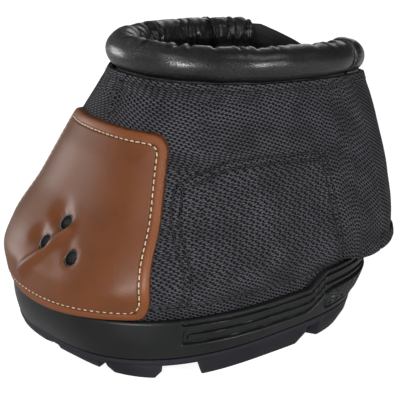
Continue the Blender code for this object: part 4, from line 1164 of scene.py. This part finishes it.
wear(buildPatch(), "boot", "tan_leather", "toe_patch")
creamSeam = {"pitch": 0.0031, "length": 0.0024, "radius": 0.00033, "lift": 0.00014, "dip": 0.0003}
wear(stitchPiece("patchStitches", [patchSeam()], creamThread, creamSeam), "boot", "tan_leather")

eyelet = {"wall": 0.0006, "flange": 0.0016, "rear": -0.0079, "face": 0.0018}
wide = patch["ventRadius"]
bore, rear = wide - eyelet["wall"], eyelet["rear"]
# radius and distance along the vent's axis, with a rounded front lip and a flange behind
eyeletProfile = [(radius, eyelet["face"] - back) for radius, back in (
    (bore, 0.0012), (bore, 0.0003), (bore + 0.0001, 0.0001), (bore + 0.0002, 0),
    (wide - 0.0002, 0), (wide - 0.0001, 0.0001), (wide, 0.0003))]
eyeletProfile += [(wide, rear), (wide + eyelet["flange"], rear), (wide + eyelet["flange"], rear - eyelet["wall"]),
                  (bore, rear - eyelet["wall"])]
for name, node, (centre, outward) in zip(("eyeletTop", "eyeletNear", "eyeletFar"),
                                         ("vent_eyelet_top", "vent_eyelet_near", "vent_eyelet_far"), vents):
    wear(turnedPiece(name, eyeletProfile, centre, outward, blackMetal), "boot", "black_metal", node)
print("scene: toe patch made")


# the woven quarters
quarter = {
    "rows": 104, "columns": 160, "hemWidth": 0.0046, "hemSwell": 0.00045, "hemSeam": 0.0034,
    "footBand": 0.0062, "footSwell": 0.00025, "footSeam": 0.0064, "frontSeam": 0.0031, "seamLine": 0.0004,
    "seamDepth": 0.0007, "rowSpacing": 0.0030, "pucker": 0.0003, "puckerPitch": 0.0031, "hemPitch": 0.0052,
    "wave": 0.0005, "pocketRise": 0.0004, "hangLevel": 0.225, "clothTurn": (2.1, 8.7),
    "apronFrom": 0.043, "apronFoot": 0.0325, "apronHem": 0.0009, "apronWidth": 0.0061,
    # the stitched pocket's front, top and back, by x and height
    "pocket": (((-0.0483, 0.0345), (-0.0474, 0.0631), (-0.0412, 0.0815), (-0.0365, 0.0868)),
               ((-0.0365, 0.0868), (-0.0131, 0.0931), (0.0202, 0.0906), (0.0404, 0.0878)),
               ((0.0404, 0.0878), (0.0412, 0.0723), (0.0417, 0.0500), (0.0449, 0.0380))),
}
blackSeam = {"pitch": 0.0029, "length": 0.0022, "radius": 0.00028, "lift": 0.00012, "dip": 0.0002}


def gentleNoise(points, scale, seed):
    # a few crossing waves, the same each run
    rolls = np.random.RandomState(seed)
    total = np.zeros(points.shape[:-1])
    for _ in range(6):
        direction = rolls.normal(size=3)
        direction /= np.linalg.norm(direction)
        pitch = rolls.uniform(0.6, 1.5)
        total += np.sin((points @ direction) * 2 * math.pi / scale * pitch + rolls.uniform(0, 7))
    return total / 6


def pocketPaths(side):
    # the two rows of stitching round the stiffener, as paths on the upper's face
    paths = []
    for inward in (0.0, quarter["rowSpacing"]):
        for leg, (dx, dz) in zip(quarter["pocket"], ((1, 0), (0, -1), (-1, 0))):
            flat = curvedPath([(x + dx * inward, 0.0, z + dz * inward) for x, z in leg])
            if dx == 0:
                flat = flat[(flat[:, 0] > leg[0][0] + inward * 0.8) & (flat[:, 0] < leg[-1][0] - inward * 0.8)]
            else:
                flat = flat[flat[:, 2] < (leg[0][1] if leg[0][1] > leg[-1][1] else leg[-1][1] - inward)]
            paths.append(evenPath([sidePoint(x, z, 0, side) for x, _, z in flat]))
    return paths


def pocketInside(points):
    # 1 within the stitched outline, 0 outside it
    x, z = points[..., 0], points[..., 2]
    front, top, back = (np.array(leg) for leg in quarter["pocket"])
    inside = smooth((np.interp(x, top[:, 0], top[:, 1]) - z) / 0.001)
    inside = inside * smooth((x - np.interp(z, front[:, 1], front[:, 0])) / 0.001)
    return inside * smooth((np.interp(z, back[::-1, 1], back[::-1, 0]) - x) / 0.001)


def sideRow(ring, columns, side):
    # places along one side of an outline, from the front seam to the hinge line
    start, end = boot["gap"] / ring["girth"], shareAtX(ring, boot["hingeX"])
    return outlinePoints(ring, (start + (end - start) * np.linspace(0, 1, columns)) * (1 if side < 0 else -1))


def sideGrid(side, depth, rows, columns, foot):
    # grid of points on one side of the upper, whose first row is turned in on the cup's floor
    grid = [np.column_stack([sideRow(floorOutline(depth), columns, side), np.full(columns, foot)])]
    for level in np.linspace(0, 1, rows):
        flat = sideRow(upperOutline(level, depth), columns, side)
        grid.append(np.column_stack([flat, levelHeight(level, flat[:, 0])]))
    return np.array(grid)


def apronFoot(x):
    return quarter["apronFoot"] + 0.0024 * smooth((0.06 - x) / 0.008)


def quarterGrid(side, depth):
    rows, columns = quarter["rows"], quarter["columns"]
    grid = sideGrid(side, depth, rows, columns, boot["floor"] + boot["gap"])
    # behind the widest part the cloth hangs straight outside the cup's rim
    hang = sideRow(upperOutline(quarter["hangLevel"], depth), columns, side)
    for level, row in zip(np.linspace(0, 1, rows), grid[1:]):
        if 0 < level < quarter["hangLevel"]:
            x, z = row[:, 0], row[:, 2]
            share = smooth((x - quarter["apronFrom"]) / 0.012) * smooth((z - apronFoot(x) + 0.0008) / 0.0016)
            row[:, :2] += (hang - row[:, :2]) * share[:, None]
    return grid


def clothPlaces(points):
    # places on the flat cloth: along its rows from the last column, and square to them from its foot
    u = runLengths(points, 1)
    along = np.gradient(points, axis=1)
    along /= np.linalg.norm(along, axis=-1, keepdims=True)
    step = np.diff(points, axis=0)
    step -= along[1:] * (step * along[1:]).sum(-1, keepdims=True)
    v = np.concatenate([np.zeros((1, points.shape[1])), np.cumsum(np.linalg.norm(step, axis=-1), axis=0)])
    return np.stack([u - u[:, -1:], v, np.zeros(u.shape)], -1)


def turnCloth(place):
    # the cloth is cut a little off the level, with its warp and weft not quite square
    weft, warp = (math.radians(turn) for turn in quarter["clothTurn"])
    u, v, w = np.moveaxis(place, -1, 0)
    return np.stack([u * math.cos(warp) + v * math.sin(warp), v * math.cos(weft) - u * math.sin(weft), w], -1)


def clothSheet(piece):
    # hands the piece back as it is
    return piece


fold = {"rise": 0.0016, "round": 0.0012, "reach": 0.013,
        "corners": ((0.0690, 0.109), (0.0700, 0.100), (0.0712, 0.088), (0.0728, 0.076), (0.0768, 0.056),
                    (0.0800, 0.038))}
foldPath = curvedPath([sidePoint(x, z, 0) for x, z in fold["corners"]])


def foldSwell(points):
    # the sharp fold where the cloth turns round the heel
    far = distanceTo(points, foldPath)
    return fold["rise"] * np.clip(1 - np.sqrt(far ** 2 + fold["round"] ** 2) / fold["reach"], 0, 1) ** 1.3


quarterSheets = {}


def buildQuarter(name, side):
    outer, inner = (quarterGrid(side, depth) for depth in (0, boot["shell"]))
    normal = outwardNormals(outer, 0.03)
    up = runLengths(outer[1:], 0)
    up = np.concatenate([up[:1] * 0, up])
    fromTop, across = up[-1:] - up, runLengths(outer, 1)
    x, z = outer[..., 0], outer[..., 2]
    pockets = pocketPaths(side)
    toPocket = distanceTo(outer, np.concatenate(pockets))
    toPatch = distanceTo(outer, patchOuter.reshape(-1, 3))
    swell = quarter["hemSwell"] * smooth((quarter["hemWidth"] - fromTop) / 0.0009)
    swell += quarter["footSwell"] * smooth((quarter["footBand"] - up) / 0.0012) * smooth((up - 0.0012) / 0.001)
    for distance in (fromTop - quarter["hemSeam"], up - quarter["footSeam"]):
        swell -= quarter["seamLine"] * bump(distance, 0.0006)
    swell -= quarter["seamDepth"] * bump(toPocket, 0.0007)
    swell += quarter["pocketRise"] * pocketInside(outer) * smooth((toPocket - 0.0004) / 0.0014)
    for pitch, near in ((quarter["puckerPitch"], bump(toPocket, 0.003)),
                        (quarter["hemPitch"], bump(fromTop - 0.008, 0.005))):
        swell += quarter["pucker"] * np.sin(across * 2 * math.pi / pitch) * near
    calm = smooth(fromTop / 0.012) * smooth((across[:, -1:] - across) / 0.006)
    swell += quarter["wave"] * gentleNoise(outer, 0.045, 5) * calm
    swell += 0.0005 * bump(across - 0.0011, 0.0009) - 0.0003 * bump(across - quarter["frontSeam"], 0.0006)
    swell *= smooth((up - 0.002) / 0.004) * smooth((toPatch - 0.0035) / 0.003)
    onHem = smooth((x - 0.056) / 0.012) * smooth((z - quarter["apronFoot"] - 0.0002) / 0.0006)
    swell += quarter["apronHem"] * onHem * smooth((quarter["apronFoot"] + quarter["apronWidth"] - z) / 0.0006)
    if side < 0:
        swell += foldSwell(outer)
    outer += normal * swell[..., None]
    inner += normal * (0.5 * swell)[..., None]
    place = clothPlaces(outer)
    quarterSheets[side] = {"outer": outer, "normal": normal, "place": place, "up": up, "across": across,
                           "pockets": pockets}
    # distance to the seam lines, along which the nylon material paints shade
    seams = np.minimum(np.abs(fromTop - quarter["hemSeam"]), np.abs(up - quarter["footSeam"]))
    seams = np.minimum(seams, toPocket)
    keep = punch([outer, inner], patch["ventRadius"] + 0.0005)
    piece = panelPiece(name, outer, inner, nylon, place=turnCloth(place), edge=seams, keep=keep)
    return clothSheet(piece)


def ontoSheet(outer, normal, paths):
    # move paths onto a finished sheet, and give their outward directions
    points, normals = outer.reshape(-1, 3), normal.reshape(-1, 3)
    tree = searchTree(points)
    runs = []
    for path in paths:
        out, outward = [], []
        for p in path:
            found = tree.find_n(p, 4)
            weight = np.array([1 / (d + 1e-5) for _, _, d in found])
            weight /= weight.sum()
            n = sum(w * normals[i] for w, (_, i, _) in zip(weight, found))
            n /= np.linalg.norm(n)
            out.append(p + n * ((points[found[0][1]] - p) @ n))
            outward.append(n)
        runs.append((np.array(out), np.array(outward)))
    return runs


def levelLine(values, sheet, target, columns):
    # line across a sheet along which a grid of rising values has one value
    path = []
    for c in columns:
        order = np.argsort(values[:, c])
        path.append(onPath(sheet[order, c], values[order, c], target))
    return evenPath(path)


def awayFromPatch(path):
    # the lengths of a path that the patch doesn't cover
    far = distanceTo(path, patchOuter.reshape(-1, 3)) > 0.004
    runs, start = [], None
    for i, ok in enumerate(list(far) + [False]):
        if ok and start is None:
            start = i
        if not ok and start is not None:
            if i - start > 12:
                runs.append(path[start:i])
            start = None
    return runs


def quarterSeams(side):
    sheet = quarterSheets[side]
    outer, up, across = sheet["outer"], sheet["up"], sheet["across"]
    columns = range(2, outer.shape[1] - 1)
    hem = levelLine((up[-1:] - up)[1:], outer[1:], quarter["hemSeam"], columns)
    foot = levelLine(up[1:], outer[1:], quarter["footSeam"], columns[:-14])
    front = evenPath([onPath(row, run, quarter["frontSeam"]) for row, run in zip(outer[8:-2], across[8:-2])])
    paths = [run for path in sheet["pockets"] + [hem, foot, front] for run in awayFromPatch(path)]
    return ontoSheet(outer, sheet["normal"], paths)


for side, name, node in ((-1, "quarterNear", "quarter_near"), (1, "quarterFar", "quarter_far")):
    wear(buildQuarter(name, side), "boot", "woven_nylon", node)
    wear(stitchPiece(name + "Stitches", quarterSeams(side), blackThread, blackSeam), "boot", "woven_nylon")
print("scene: woven quarters made")


# the padded linings inside the quarters
lining = {"rows": 60, "columns": 76, "swell": 0.0007, "pinch": 0.0009, "channel": 0.019}


def buildLining(name, side):
    foot = boot["floor"] + boot["shell"] + 2 * boot["gap"]
    outer, inner = (sideGrid(side, boot["liningDepth"] + depth, lining["rows"], lining["columns"], foot)
                    for depth in (0, boot["lining"]))
    up, fromTop, across, fromEnd = sheetRuns(inner)
    edge = np.minimum(np.minimum(fromTop, fromEnd), across)
    quilt = np.abs(np.sin(across * math.pi / lining["channel"])) ** 0.6
    swell = lining["swell"] * quilt * smooth((edge - 0.002) / 0.004) * smooth((up - 0.008) / 0.006)
    swell -= lining["pinch"] * (1 - smooth(edge / 0.0025)) * smooth((up - 0.004) / 0.004)
    inner = inner - outwardNormals(inner, 0.05) * swell[..., None]
    keep = punch([outer, inner], patch["ventRadius"] + 0.0005)
    piece = panelPiece(name, outer, inner, softLining, keep=keep)
    return piece


wear(buildLining("liningNear", -1), "boot", "soft_lining", "lining_near")
wear(buildLining("liningFar", 1), "boot", "soft_lining", "lining_far")
print("scene: linings made")


# the padded roll round the top
roll = {
    "radius": 0.0083, "tuck": 0.0009, "toe": 0.0275, "heel": 0.093, "halfWidth": 0.0395, "widest": 0.033,
    "farSeamX": 0.046, "farEndX": 0.0705, "piping": 0.0016, "flapLength": 0.026, "flapFall": 0.0035,
    "hingeGap": 0.0008, "inset": 0.0009, "pleat": 0.0027, "pleatPitch": 0.0078, "crease": 0.0015,
    "creasePitch": 0.0065, "wave": 0.00016, "gather": 0.00035, "sides": 84, "step": 0.00085,
}
rollOutline = outline(roll["toe"], roll["heel"], roll["halfWidth"], roll["widest"], 2.1, 2.5)
rollGirth = rollOutline["girth"]
hingeShare = shareAtX(rollOutline, boot["hingeX"])


def rollFrames(shares):
    # the roll's middle line, with its outward, upward and forward directions
    shares = np.asarray(shares, float)
    x, y = alongOutline(rollOutline, shares)
    step = outlinePoints(rollOutline, shares + 0.01) - outlinePoints(rollOutline, shares - 0.01)
    along = np.column_stack([step, -step[:, 0] * boot["topSlope"]])
    along /= np.linalg.norm(along, axis=1, keepdims=True)
    up = np.array([boot["topSlope"], 0, 1.0])
    up /= np.linalg.norm(up)
    outward = np.cross(along, up)
    outward /= np.linalg.norm(outward, axis=1, keepdims=True)
    past = (shares - hingeShare) * rollGirth / roll["flapLength"]
    z = topHeight(x) + roll["radius"] + boot["gap"] - roll["flapFall"] * smooth(past)
    return np.stack([x, y, z], 1), outward, up, along


def bendOf(shares):
    # how tightly the roll bends, from 0 on the straight sides to 1 at the toe
    before, here, after = (outlinePoints(rollOutline, shares + d) for d in (-0.012, 0, 0.012))
    first, second = here - before, after - here
    turn = np.arctan2(np.abs(first[:, 0] * second[:, 1] - first[:, 1] * second[:, 0]), (first * second).sum(1))
    return np.clip(turn / (np.linalg.norm(first, axis=1) + 1e-9) * 0.026, 0, 1)


def creases(s, a, start, end, seed):
    # short leaning creases at random places, each a valley between two low shoulders
    rolls = np.random.RandomState(seed)
    cut = 0
    for _ in range(int(abs(end - start) * rollGirth / roll["creasePitch"])):
        at = rolls.uniform(start, end) * rollGirth
        turn = rolls.uniform(1.6, 4.2) if rolls.uniform() < 0.75 else rolls.uniform(-1.2, 1.4)
        length, width = rolls.uniform(0.35, 0.95), rolls.uniform(0.0007, 0.0016)
        lean = rolls.uniform(-0.0028, 0.0028)
        strength = roll["crease"] * rolls.uniform(0.25, 1.0) * (1.0 if 1.6 < turn < 4.2 else 0.1)
        off = (a - turn + math.pi) % (2 * math.pi) - math.pi
        away = s - at - lean * off
        shoulders = bump(away - width * 2.1, width * 1.4) + bump(away + width * 2.1, width * 1.4)
        cut = cut + strength * (bump(away, width) - 0.35 * shoulders) * bump(off, length)
    return cut


def rollShape(shares, angle, start, end, seed):
    # radius of the roll at each place along and round it
    s, a = (shares * rollGirth)[:, None], angle[None, :]
    nearest = np.minimum(np.abs(shares - start), np.abs(end - shares))[:, None] * rollGirth
    radius = roll["radius"] - roll["tuck"] * (1 - smooth(nearest / 0.0035))
    # pleats lie on the inner side of the bend, unevenly spaced
    inward = smooth((0.85 - np.cos(a)) / 1.2) * smooth((np.sin(a) + 0.75) / 0.8)
    jitter = 0.9 * np.sin(s * 240 + 1.0) + 0.5 * np.sin(s * 610 + 2.0)
    slant = 0.9 * np.cos(a) + 0.5 * np.sin(a)
    pleats = 1 - np.abs(np.sin(s * math.pi / roll["pleatPitch"] + jitter + slant)) ** 0.55
    depth = (0.55 + 0.45 * np.sin(s * 170 + seed)) * smooth((bendOf(shares)[:, None] - 0.06) / 0.3)
    radius = radius - roll["pleat"] * depth * pleats * inward - creases(s, a, start, end, seed)
    radius = radius + roll["wave"] * np.sin(s * 300 + 1.3 * np.sin(a + seed)) * np.cos(a * 2 + s * 60)
    gathers = np.sin(a * 17 + 2.0 * np.sin(a * 3)) * bump(nearest, 0.0045)
    return radius - roll["gather"] * (0.5 + 0.5 * gathers) * bump(nearest, 0.006)


def buildRoll(name, start, end, seed, domed=False):
    angle = np.linspace(0, 2 * math.pi, roll["sides"], endpoint=False)
    shares = np.linspace(start, end, max(12, int(abs(end - start) * rollGirth / roll["step"])))
    # a domed end is no seam, so nothing is gathered there
    radius = rollShape(shares, angle, start, end + 1.0 if domed else end, seed)
    centres, outward, up, along = rollFrames(shares)

    def tucked(at, sign):
        # rings that close an end inwards
        return [(centres[at] + sign * along[at] * roll["inset"] * back, outward[at], radius[at] * t)
                for t, back in ((0.93, 0.0), (0.8, 0.25), (0.55, 0.7), (0.25, 1.0))]

    if domed:
        last = []
        for t in np.linspace(0.1, 0.97, 12):
            c, o, _, _ = rollFrames([end + t * roll["radius"] / rollGirth])
            last.append((c[0], o[0], radius[-1] * math.sqrt(1 - t * t)))
    else:
        last = tucked(-1, -1)
    rings = [c + np.outer(r * np.cos(angle), o) + np.outer(r * np.sin(angle), up)
             for c, o, r in tucked(0, 1)[::-1] + list(zip(centres, outward, radius)) + last]
    piece = ringPiece(name, rings, rollHide)
    return piece


# the piping across, from edge to edge: a bead at each edge
pipingShape = ((-1.0, -0.0009), (-1.0, 0.0001), (-0.82, 0.0006), (-0.5, 0.00072), (-0.2, 0.0003), (0.0, 0.00012),
               (0.2, 0.0003), (0.5, 0.00072), (0.82, 0.0006), (1.0, 0.0001), (1.0, -0.0009))


def buildPiping(name, share):
    # band over the seam
    base = roll["radius"] - roll["tuck"] + 0.0005
    frames = [rollFrames([share + across * 0.5 * roll["piping"] / rollGirth]) for across, _ in pipingShape]
    rings = []
    for a in np.linspace(0, 2 * math.pi, 90, endpoint=False):
        ring = []
        for (c, o, u, _), (_, lift) in zip(frames, pipingShape):
            r = base + lift - 0.0002 * (1 - math.sin(a * 9) ** 2)
            ring.append(c[0] + r * (o[0] * math.cos(a) + u * math.sin(a)))
        rings.append(ring)
    return ringPiece(name, rings, rollHide, endless=True)


farSeam, farEnd = (shareAtX(rollOutline, roll[key]) for key in ("farSeamX", "farEndX"))
seamGap = (0.5 * roll["piping"] + 0.0002) / rollGirth
nearSeam = hingeShare - seamGap - roll["hingeGap"] / rollGirth
flapStart = hingeShare + roll["hingeGap"] / rollGirth
flapEnd = flapStart + roll["flapLength"] / rollGirth
wear(buildRoll("collarMain", -farSeam + seamGap, nearSeam - seamGap, 3), "boot", "roll_leather",
     "collar_cover_main", "collar_foam_main")
wear(buildRoll("collarFar", -farEnd, -farSeam - seamGap, 8), "boot", "roll_leather",
     "collar_cover_far", "collar_foam_far")
wear(buildRoll("collarFlap", flapStart, flapEnd, 5, domed=True), "outer_heel_flap", "roll_leather",
     "collar_cover_flap", "collar_foam_flap")
wear(buildPiping("pipingNear", nearSeam), "boot", "roll_leather", "collar_piping_near")
wear(buildPiping("pipingFar", -farSeam), "boot", "roll_leather", "collar_piping_far")
print("scene: roll collar made")


# the outer and inner heel flaps
closure = {
    "foot": 0.0325, "height": 0.0835, "lining": 0.002, "pad": 0.001, "innerThickness": 0.0035, "lift": 0.005,
    "hem": 0.0009, "hemWidth": 0.006, "outerEnd": 0.90, "innerEnd": 0.24, "padSpan": (0.40, 0.82),
    "padRows": (0.34, 0.77), "innerRise": 0.013, "rows": 84, "columns": 130, "corner": 0.007, "length": 0.125,
    "footSeam": 0.0066, "wave": 0.0006, "pinch": 0.0011, "innerSeam": 0.0052,
}
heelLevels = np.linspace(quarter["hangLevel"], 1, 60)
heelMarks = (-0.006, 0.003, 0.012)  # depths
closureStack = boot["shell"] + closure["lining"] + 2 * closure["pad"] + 5 * boot["gap"]


def heelPoints(levels, places, depths, rise=0.0):
    # points round the heel, read from a table of outlines at three depths: a place is 0 at the
    # near hinge line and 1 at the far one
    table = np.empty((len(heelLevels), 3, len(places), 2))
    for i, level in enumerate(heelLevels):
        for j, mark in enumerate(heelMarks):
            ring = upperOutline(level, mark)
            start = shareAtX(ring, boot["hingeX"])
            table[i, j] = outlinePoints(ring, start + (2 - 2 * start) * places)
    levels, depths = np.broadcast_arrays(levels, np.broadcast_to(depths, levels.shape))
    spot = np.clip((levels - heelLevels[0]) / (1 - heelLevels[0]), 0, 1) * (len(heelLevels) - 1)
    low = np.minimum(spot.astype(int), len(heelLevels) - 2)
    mix = (spot - low)[..., None, None]
    columns = np.broadcast_to(np.arange(len(places)), levels.shape)
    spread = table[low, :, columns] * (1 - mix) + table[low + 1, :, columns] * mix
    a, b, c = heelMarks
    d = depths[..., None]
    flat = (spread[..., 0, :] * (d - b) * (d - c) / ((a - b) * (a - c))
            + spread[..., 1, :] * (d - a) * (d - c) / ((b - a) * (b - c))
            + spread[..., 2, :] * (d - a) * (d - b) / ((c - a) * (c - b)))
    height = levelHeight(levels, flat[..., 0]) + rise
    return np.concatenate([flat, height[..., None]], -1)


def heelLevel(height):
    return (height - boot["lip"]) / closure["height"]


def heelSheets(places, foot, top, depths, rows, cornerFrom=None, rise=0.0):
    # grids of points from a foot to a top that varies, with rounded free corners, one for each depth
    high = np.broadcast_to(top, places.shape).astype(float)
    low = np.full(places.shape, foot)
    if cornerFrom is not None:
        r = closure["corner"]
        left = np.clip(r - np.abs(places - cornerFrom) * closure["length"], 0, r)
        cut = (r - np.sqrt(r ** 2 - left ** 2)) / closure["height"]
        low, high = low + cut, high - cut
    levels = low + (high - low) * np.linspace(0, 1, rows)[:, None]
    lifted = rise * np.clip(levels - 0.77, 0, 1) / np.maximum(high - 0.77, 0.02)
    return [heelPoints(levels, places, depth, lifted) for depth in depths]


def outerLift(around):
    # the outer flap lies further out towards its free end, over the inner one
    return closure["lift"] * np.minimum(1.0, around / closure["outerEnd"])


def outerTop(around):
    underRoll = roll["flapFall"] / closure["height"] * smooth(around / 0.55)
    return 1 - underRoll - 0.11 * smooth((around - 0.38) / 0.45)


def flapSheets(places, depths, rows):
    foot = heelLevel(closure["foot"] + closure["hem"] + boot["gap"])
    return heelSheets(places, foot, outerTop(places), [depth - outerLift(places) for depth in depths], rows,
                      closure["outerEnd"])


def buildFlapShell():
    places = np.linspace(0.0, closure["outerEnd"], closure["columns"])
    outer, inner = flapSheets(places, (0, boot["shell"]), closure["rows"])
    normal = outwardNormals(outer, 0.06)
    up, fromTop, across, fromEnd = sheetRuns(outer)
    edge = np.minimum(fromTop, fromEnd)
    swell = quarter["hemSwell"] * smooth((quarter["hemWidth"] - edge) / 0.0009)
    swell -= quarter["seamLine"] * bump(edge - quarter["hemSeam"], 0.0006)
    soft = closure["wave"] * gentleNoise(outer, 0.05, 9) * smooth(edge / 0.012)
    soft += 0.00016 * np.sin(across * 2 * math.pi / quarter["hemPitch"]) * bump(up - 0.009, 0.004)
    soft -= quarter["seamLine"] * bump(up - closure["footSeam"], 0.0007)
    swell += soft * smooth((across - 0.001) / 0.006) + foldSwell(outer)
    outer += normal * swell[..., None]
    inner += normal * np.maximum(swell, 0)[..., None] * 0.6
    # the weave runs on from the quarter
    edgeColumn = {key: quarterSheets[-1][key][1:, -1] for key in ("outer", "place")}
    v = np.interp(outer[..., 2], edgeColumn["outer"][:, 2], edgeColumn["place"][:, 1])
    place = np.stack([runLengths(outer * (1, 1, 0), 1), v, np.zeros_like(v)], -1)
    # distance to the seam lines, along which the nylon material paints shade
    seams = np.minimum(np.abs(edge - quarter["hemSeam"]), np.abs(up - closure["footSeam"]))
    piece = panelPiece("heelFlapShell", outer, inner, nylon, place=turnCloth(place), edge=seams)
    clothSheet(piece)
    paths = [levelLine(fromTop, outer, quarter["hemSeam"], range(2, outer.shape[1] - 9)),
             levelLine(up, outer, closure["footSeam"], range(6, outer.shape[1] - 9)),
             levelLine(fromEnd.T, outer.transpose(1, 0, 2), quarter["hemSeam"], range(8, outer.shape[0] - 8))]
    return piece, ontoSheet(outer, normal, paths)


def buildFlapLining():
    face = boot["shell"] + boot["gap"]
    places = np.linspace(0.006, closure["outerEnd"] - 0.003, 76)
    outer, inner = flapSheets(places, (face, face + closure["lining"]), 44)
    up, fromTop, across, fromEnd = sheetRuns(inner)
    edge = np.minimum(np.minimum(up, fromTop), fromEnd)
    inner += outwardNormals(inner, 0.06) * (lining["pinch"] * (1 - smooth(edge / 0.002)))[..., None]
    piece = panelPiece("heelFlapLining", outer, inner, softLining)
    return piece


def buildHem():
    # binding folded over the flap's foot
    t, gap, height = closure["hem"], boot["gap"], closure["height"]
    low, middle, high = (heelLevel(closure["foot"] + rise) for rise in (0, t, closure["hemWidth"]))
    back = boot["shell"] + closure["lining"] + 2 * gap
    places = np.linspace(0.006, closure["outerEnd"] - 0.012, 110)
    ripple = 0.00018 * np.sin(np.arange(len(places)) * 0.9)
    # level and depth: up the outside, over the flap's foot and down the inside
    shape = ((low + 0.0006 / height, -gap - t * 0.7), (low + 0.002 / height, -gap - t),
             (low + 0.0042 / height, -gap - t * 0.9), (high - 0.0006 / height, -gap - t * 0.75),
             (high, -gap - t * 0.35), (high - 0.0002 / height, -gap), (middle, -gap), (middle, back),
             (high - 0.0002 / height, back), (high, back + t * 0.4), (high - 0.0007 / height, back + t * 0.8),
             (low + 0.002 / height, back + t), (low + 0.0005 / height, back + t * 0.6), (low, back / 2))
    columns = []
    for k, (level, depth) in enumerate(shape):
        out = outerLift(places) + (ripple if k in (1, 2) else 0)
        columns.append(heelPoints(np.full((1, len(places)), level), places, depth - out)[0])
    rings = np.stack(columns, 1)
    place = np.zeros(rings.shape)
    place[..., 0] = runLengths(rings, 0)[:, :1]
    place[..., 1] = runLengths(rings, 1)
    # a far seam distance everywhere, so no seam shade is painted on the hem
    return ringPiece("heelFlapHem", rings, nylon, place=place, edge=np.full(rings.shape[:2], 0.01))


def buildPad(name, depth, material, sign):
    # touch-fastener pad, whose face is outside for 1 and inside for -1
    places = np.linspace(*closure["padSpan"], 64)
    depths = [depth + thick - outerLift(places) for thick in (0, closure["pad"])]
    outer, inner = heelSheets(places, *closure["padRows"], depths, 40)
    up, fromTop, across, fromEnd = sheetRuns(outer)
    edge = np.minimum(np.minimum(up, fromTop), np.minimum(across, fromEnd))
    sunk = 0.0005 * (1 - smooth(edge / 0.0012)) + 0.00025 * bump(edge - 0.0032, 0.0006)
    normal = outwardNormals(outer, 0.06)
    sheet = outer if sign > 0 else inner
    sheet -= normal * sign * sunk[..., None]
    return panelPiece(name, outer, inner, material)


def buildInnerFlap():
    places = np.linspace(closure["innerEnd"], 1.0, 110)
    rise = closure["innerRise"] * np.clip((places - 0.55) / 0.4, 0, 1)
    top = 1 - 0.14 * smooth((0.66 - places) / 0.2)
    depth = (closureStack - outerLift(places)) * smooth((1 - places) / (1 - closure["outerEnd"]))
    depths = (depth, depth + closure["innerThickness"])
    outer, inner = heelSheets(places, heelLevel(closure["foot"]), top, depths, 72, closure["innerEnd"], rise)
    normal = outwardNormals(outer, 0.06)
    up, fromTop, across, _ = sheetRuns(outer)
    edge = np.minimum(np.minimum(up, fromTop), across)
    pinch = closure["pinch"] * rounding(edge / 0.003) + 0.0005 * bump(edge - closure["innerSeam"], 0.0007)
    soft = 0.0004 * gentleNoise(outer, 0.035, 14) * smooth((edge - 0.006) / 0.01)
    outer -= normal * pinch[..., None]
    inner += normal * (pinch * 0.9 + soft)[..., None]
    piece = panelPiece("innerFlap", outer, inner, flapCloth)
    seam = levelLine(fromTop, inner, closure["innerSeam"], range(10, inner.shape[1] - 3))
    return piece, ontoSheet(inner, -normal, [seam])


def blendAtHinge(piece):
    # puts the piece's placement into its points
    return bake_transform(piece)


shellPiece, shellSeams = buildFlapShell()
wear(blendAtHinge(shellPiece), None, "woven_nylon", "heel_flap_shell")
wear(stitchPiece("heelFlapStitches", shellSeams, blackThread, blackSeam), "outer_heel_flap", "woven_nylon")
wear(buildFlapLining(), "outer_heel_flap", "soft_lining", "heel_flap_lining")
wear(buildHem(), "outer_heel_flap", "woven_nylon", "heel_flap_hem")
wear(buildPad("hookPad", boot["shell"] + closure["lining"] + 2 * boot["gap"], hookCloth, -1), "outer_heel_flap",
     "soft_lining", "hook_pad")
wear(buildPad("loopPad", closureStack - closure["pad"] - boot["gap"], softLining, 1), "inner_heel_flap",
     "soft_lining", "loop_pad")
innerPiece, innerSeams = buildInnerFlap()
wear(blendAtHinge(innerPiece), None, "soft_lining", "inner_flap")
wear(stitchPiece("innerFlapStitches", innerSeams, blackThread, blackSeam), "inner_heel_flap", "soft_lining")
print("scene: heel closure made")


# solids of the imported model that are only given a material
for node in ("insole_board", "stiffener_near", "stiffener_far"):
    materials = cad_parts[node].data.materials
    materials.clear()
    materials.append(fibreBoard)
print("scene: all pieces made")
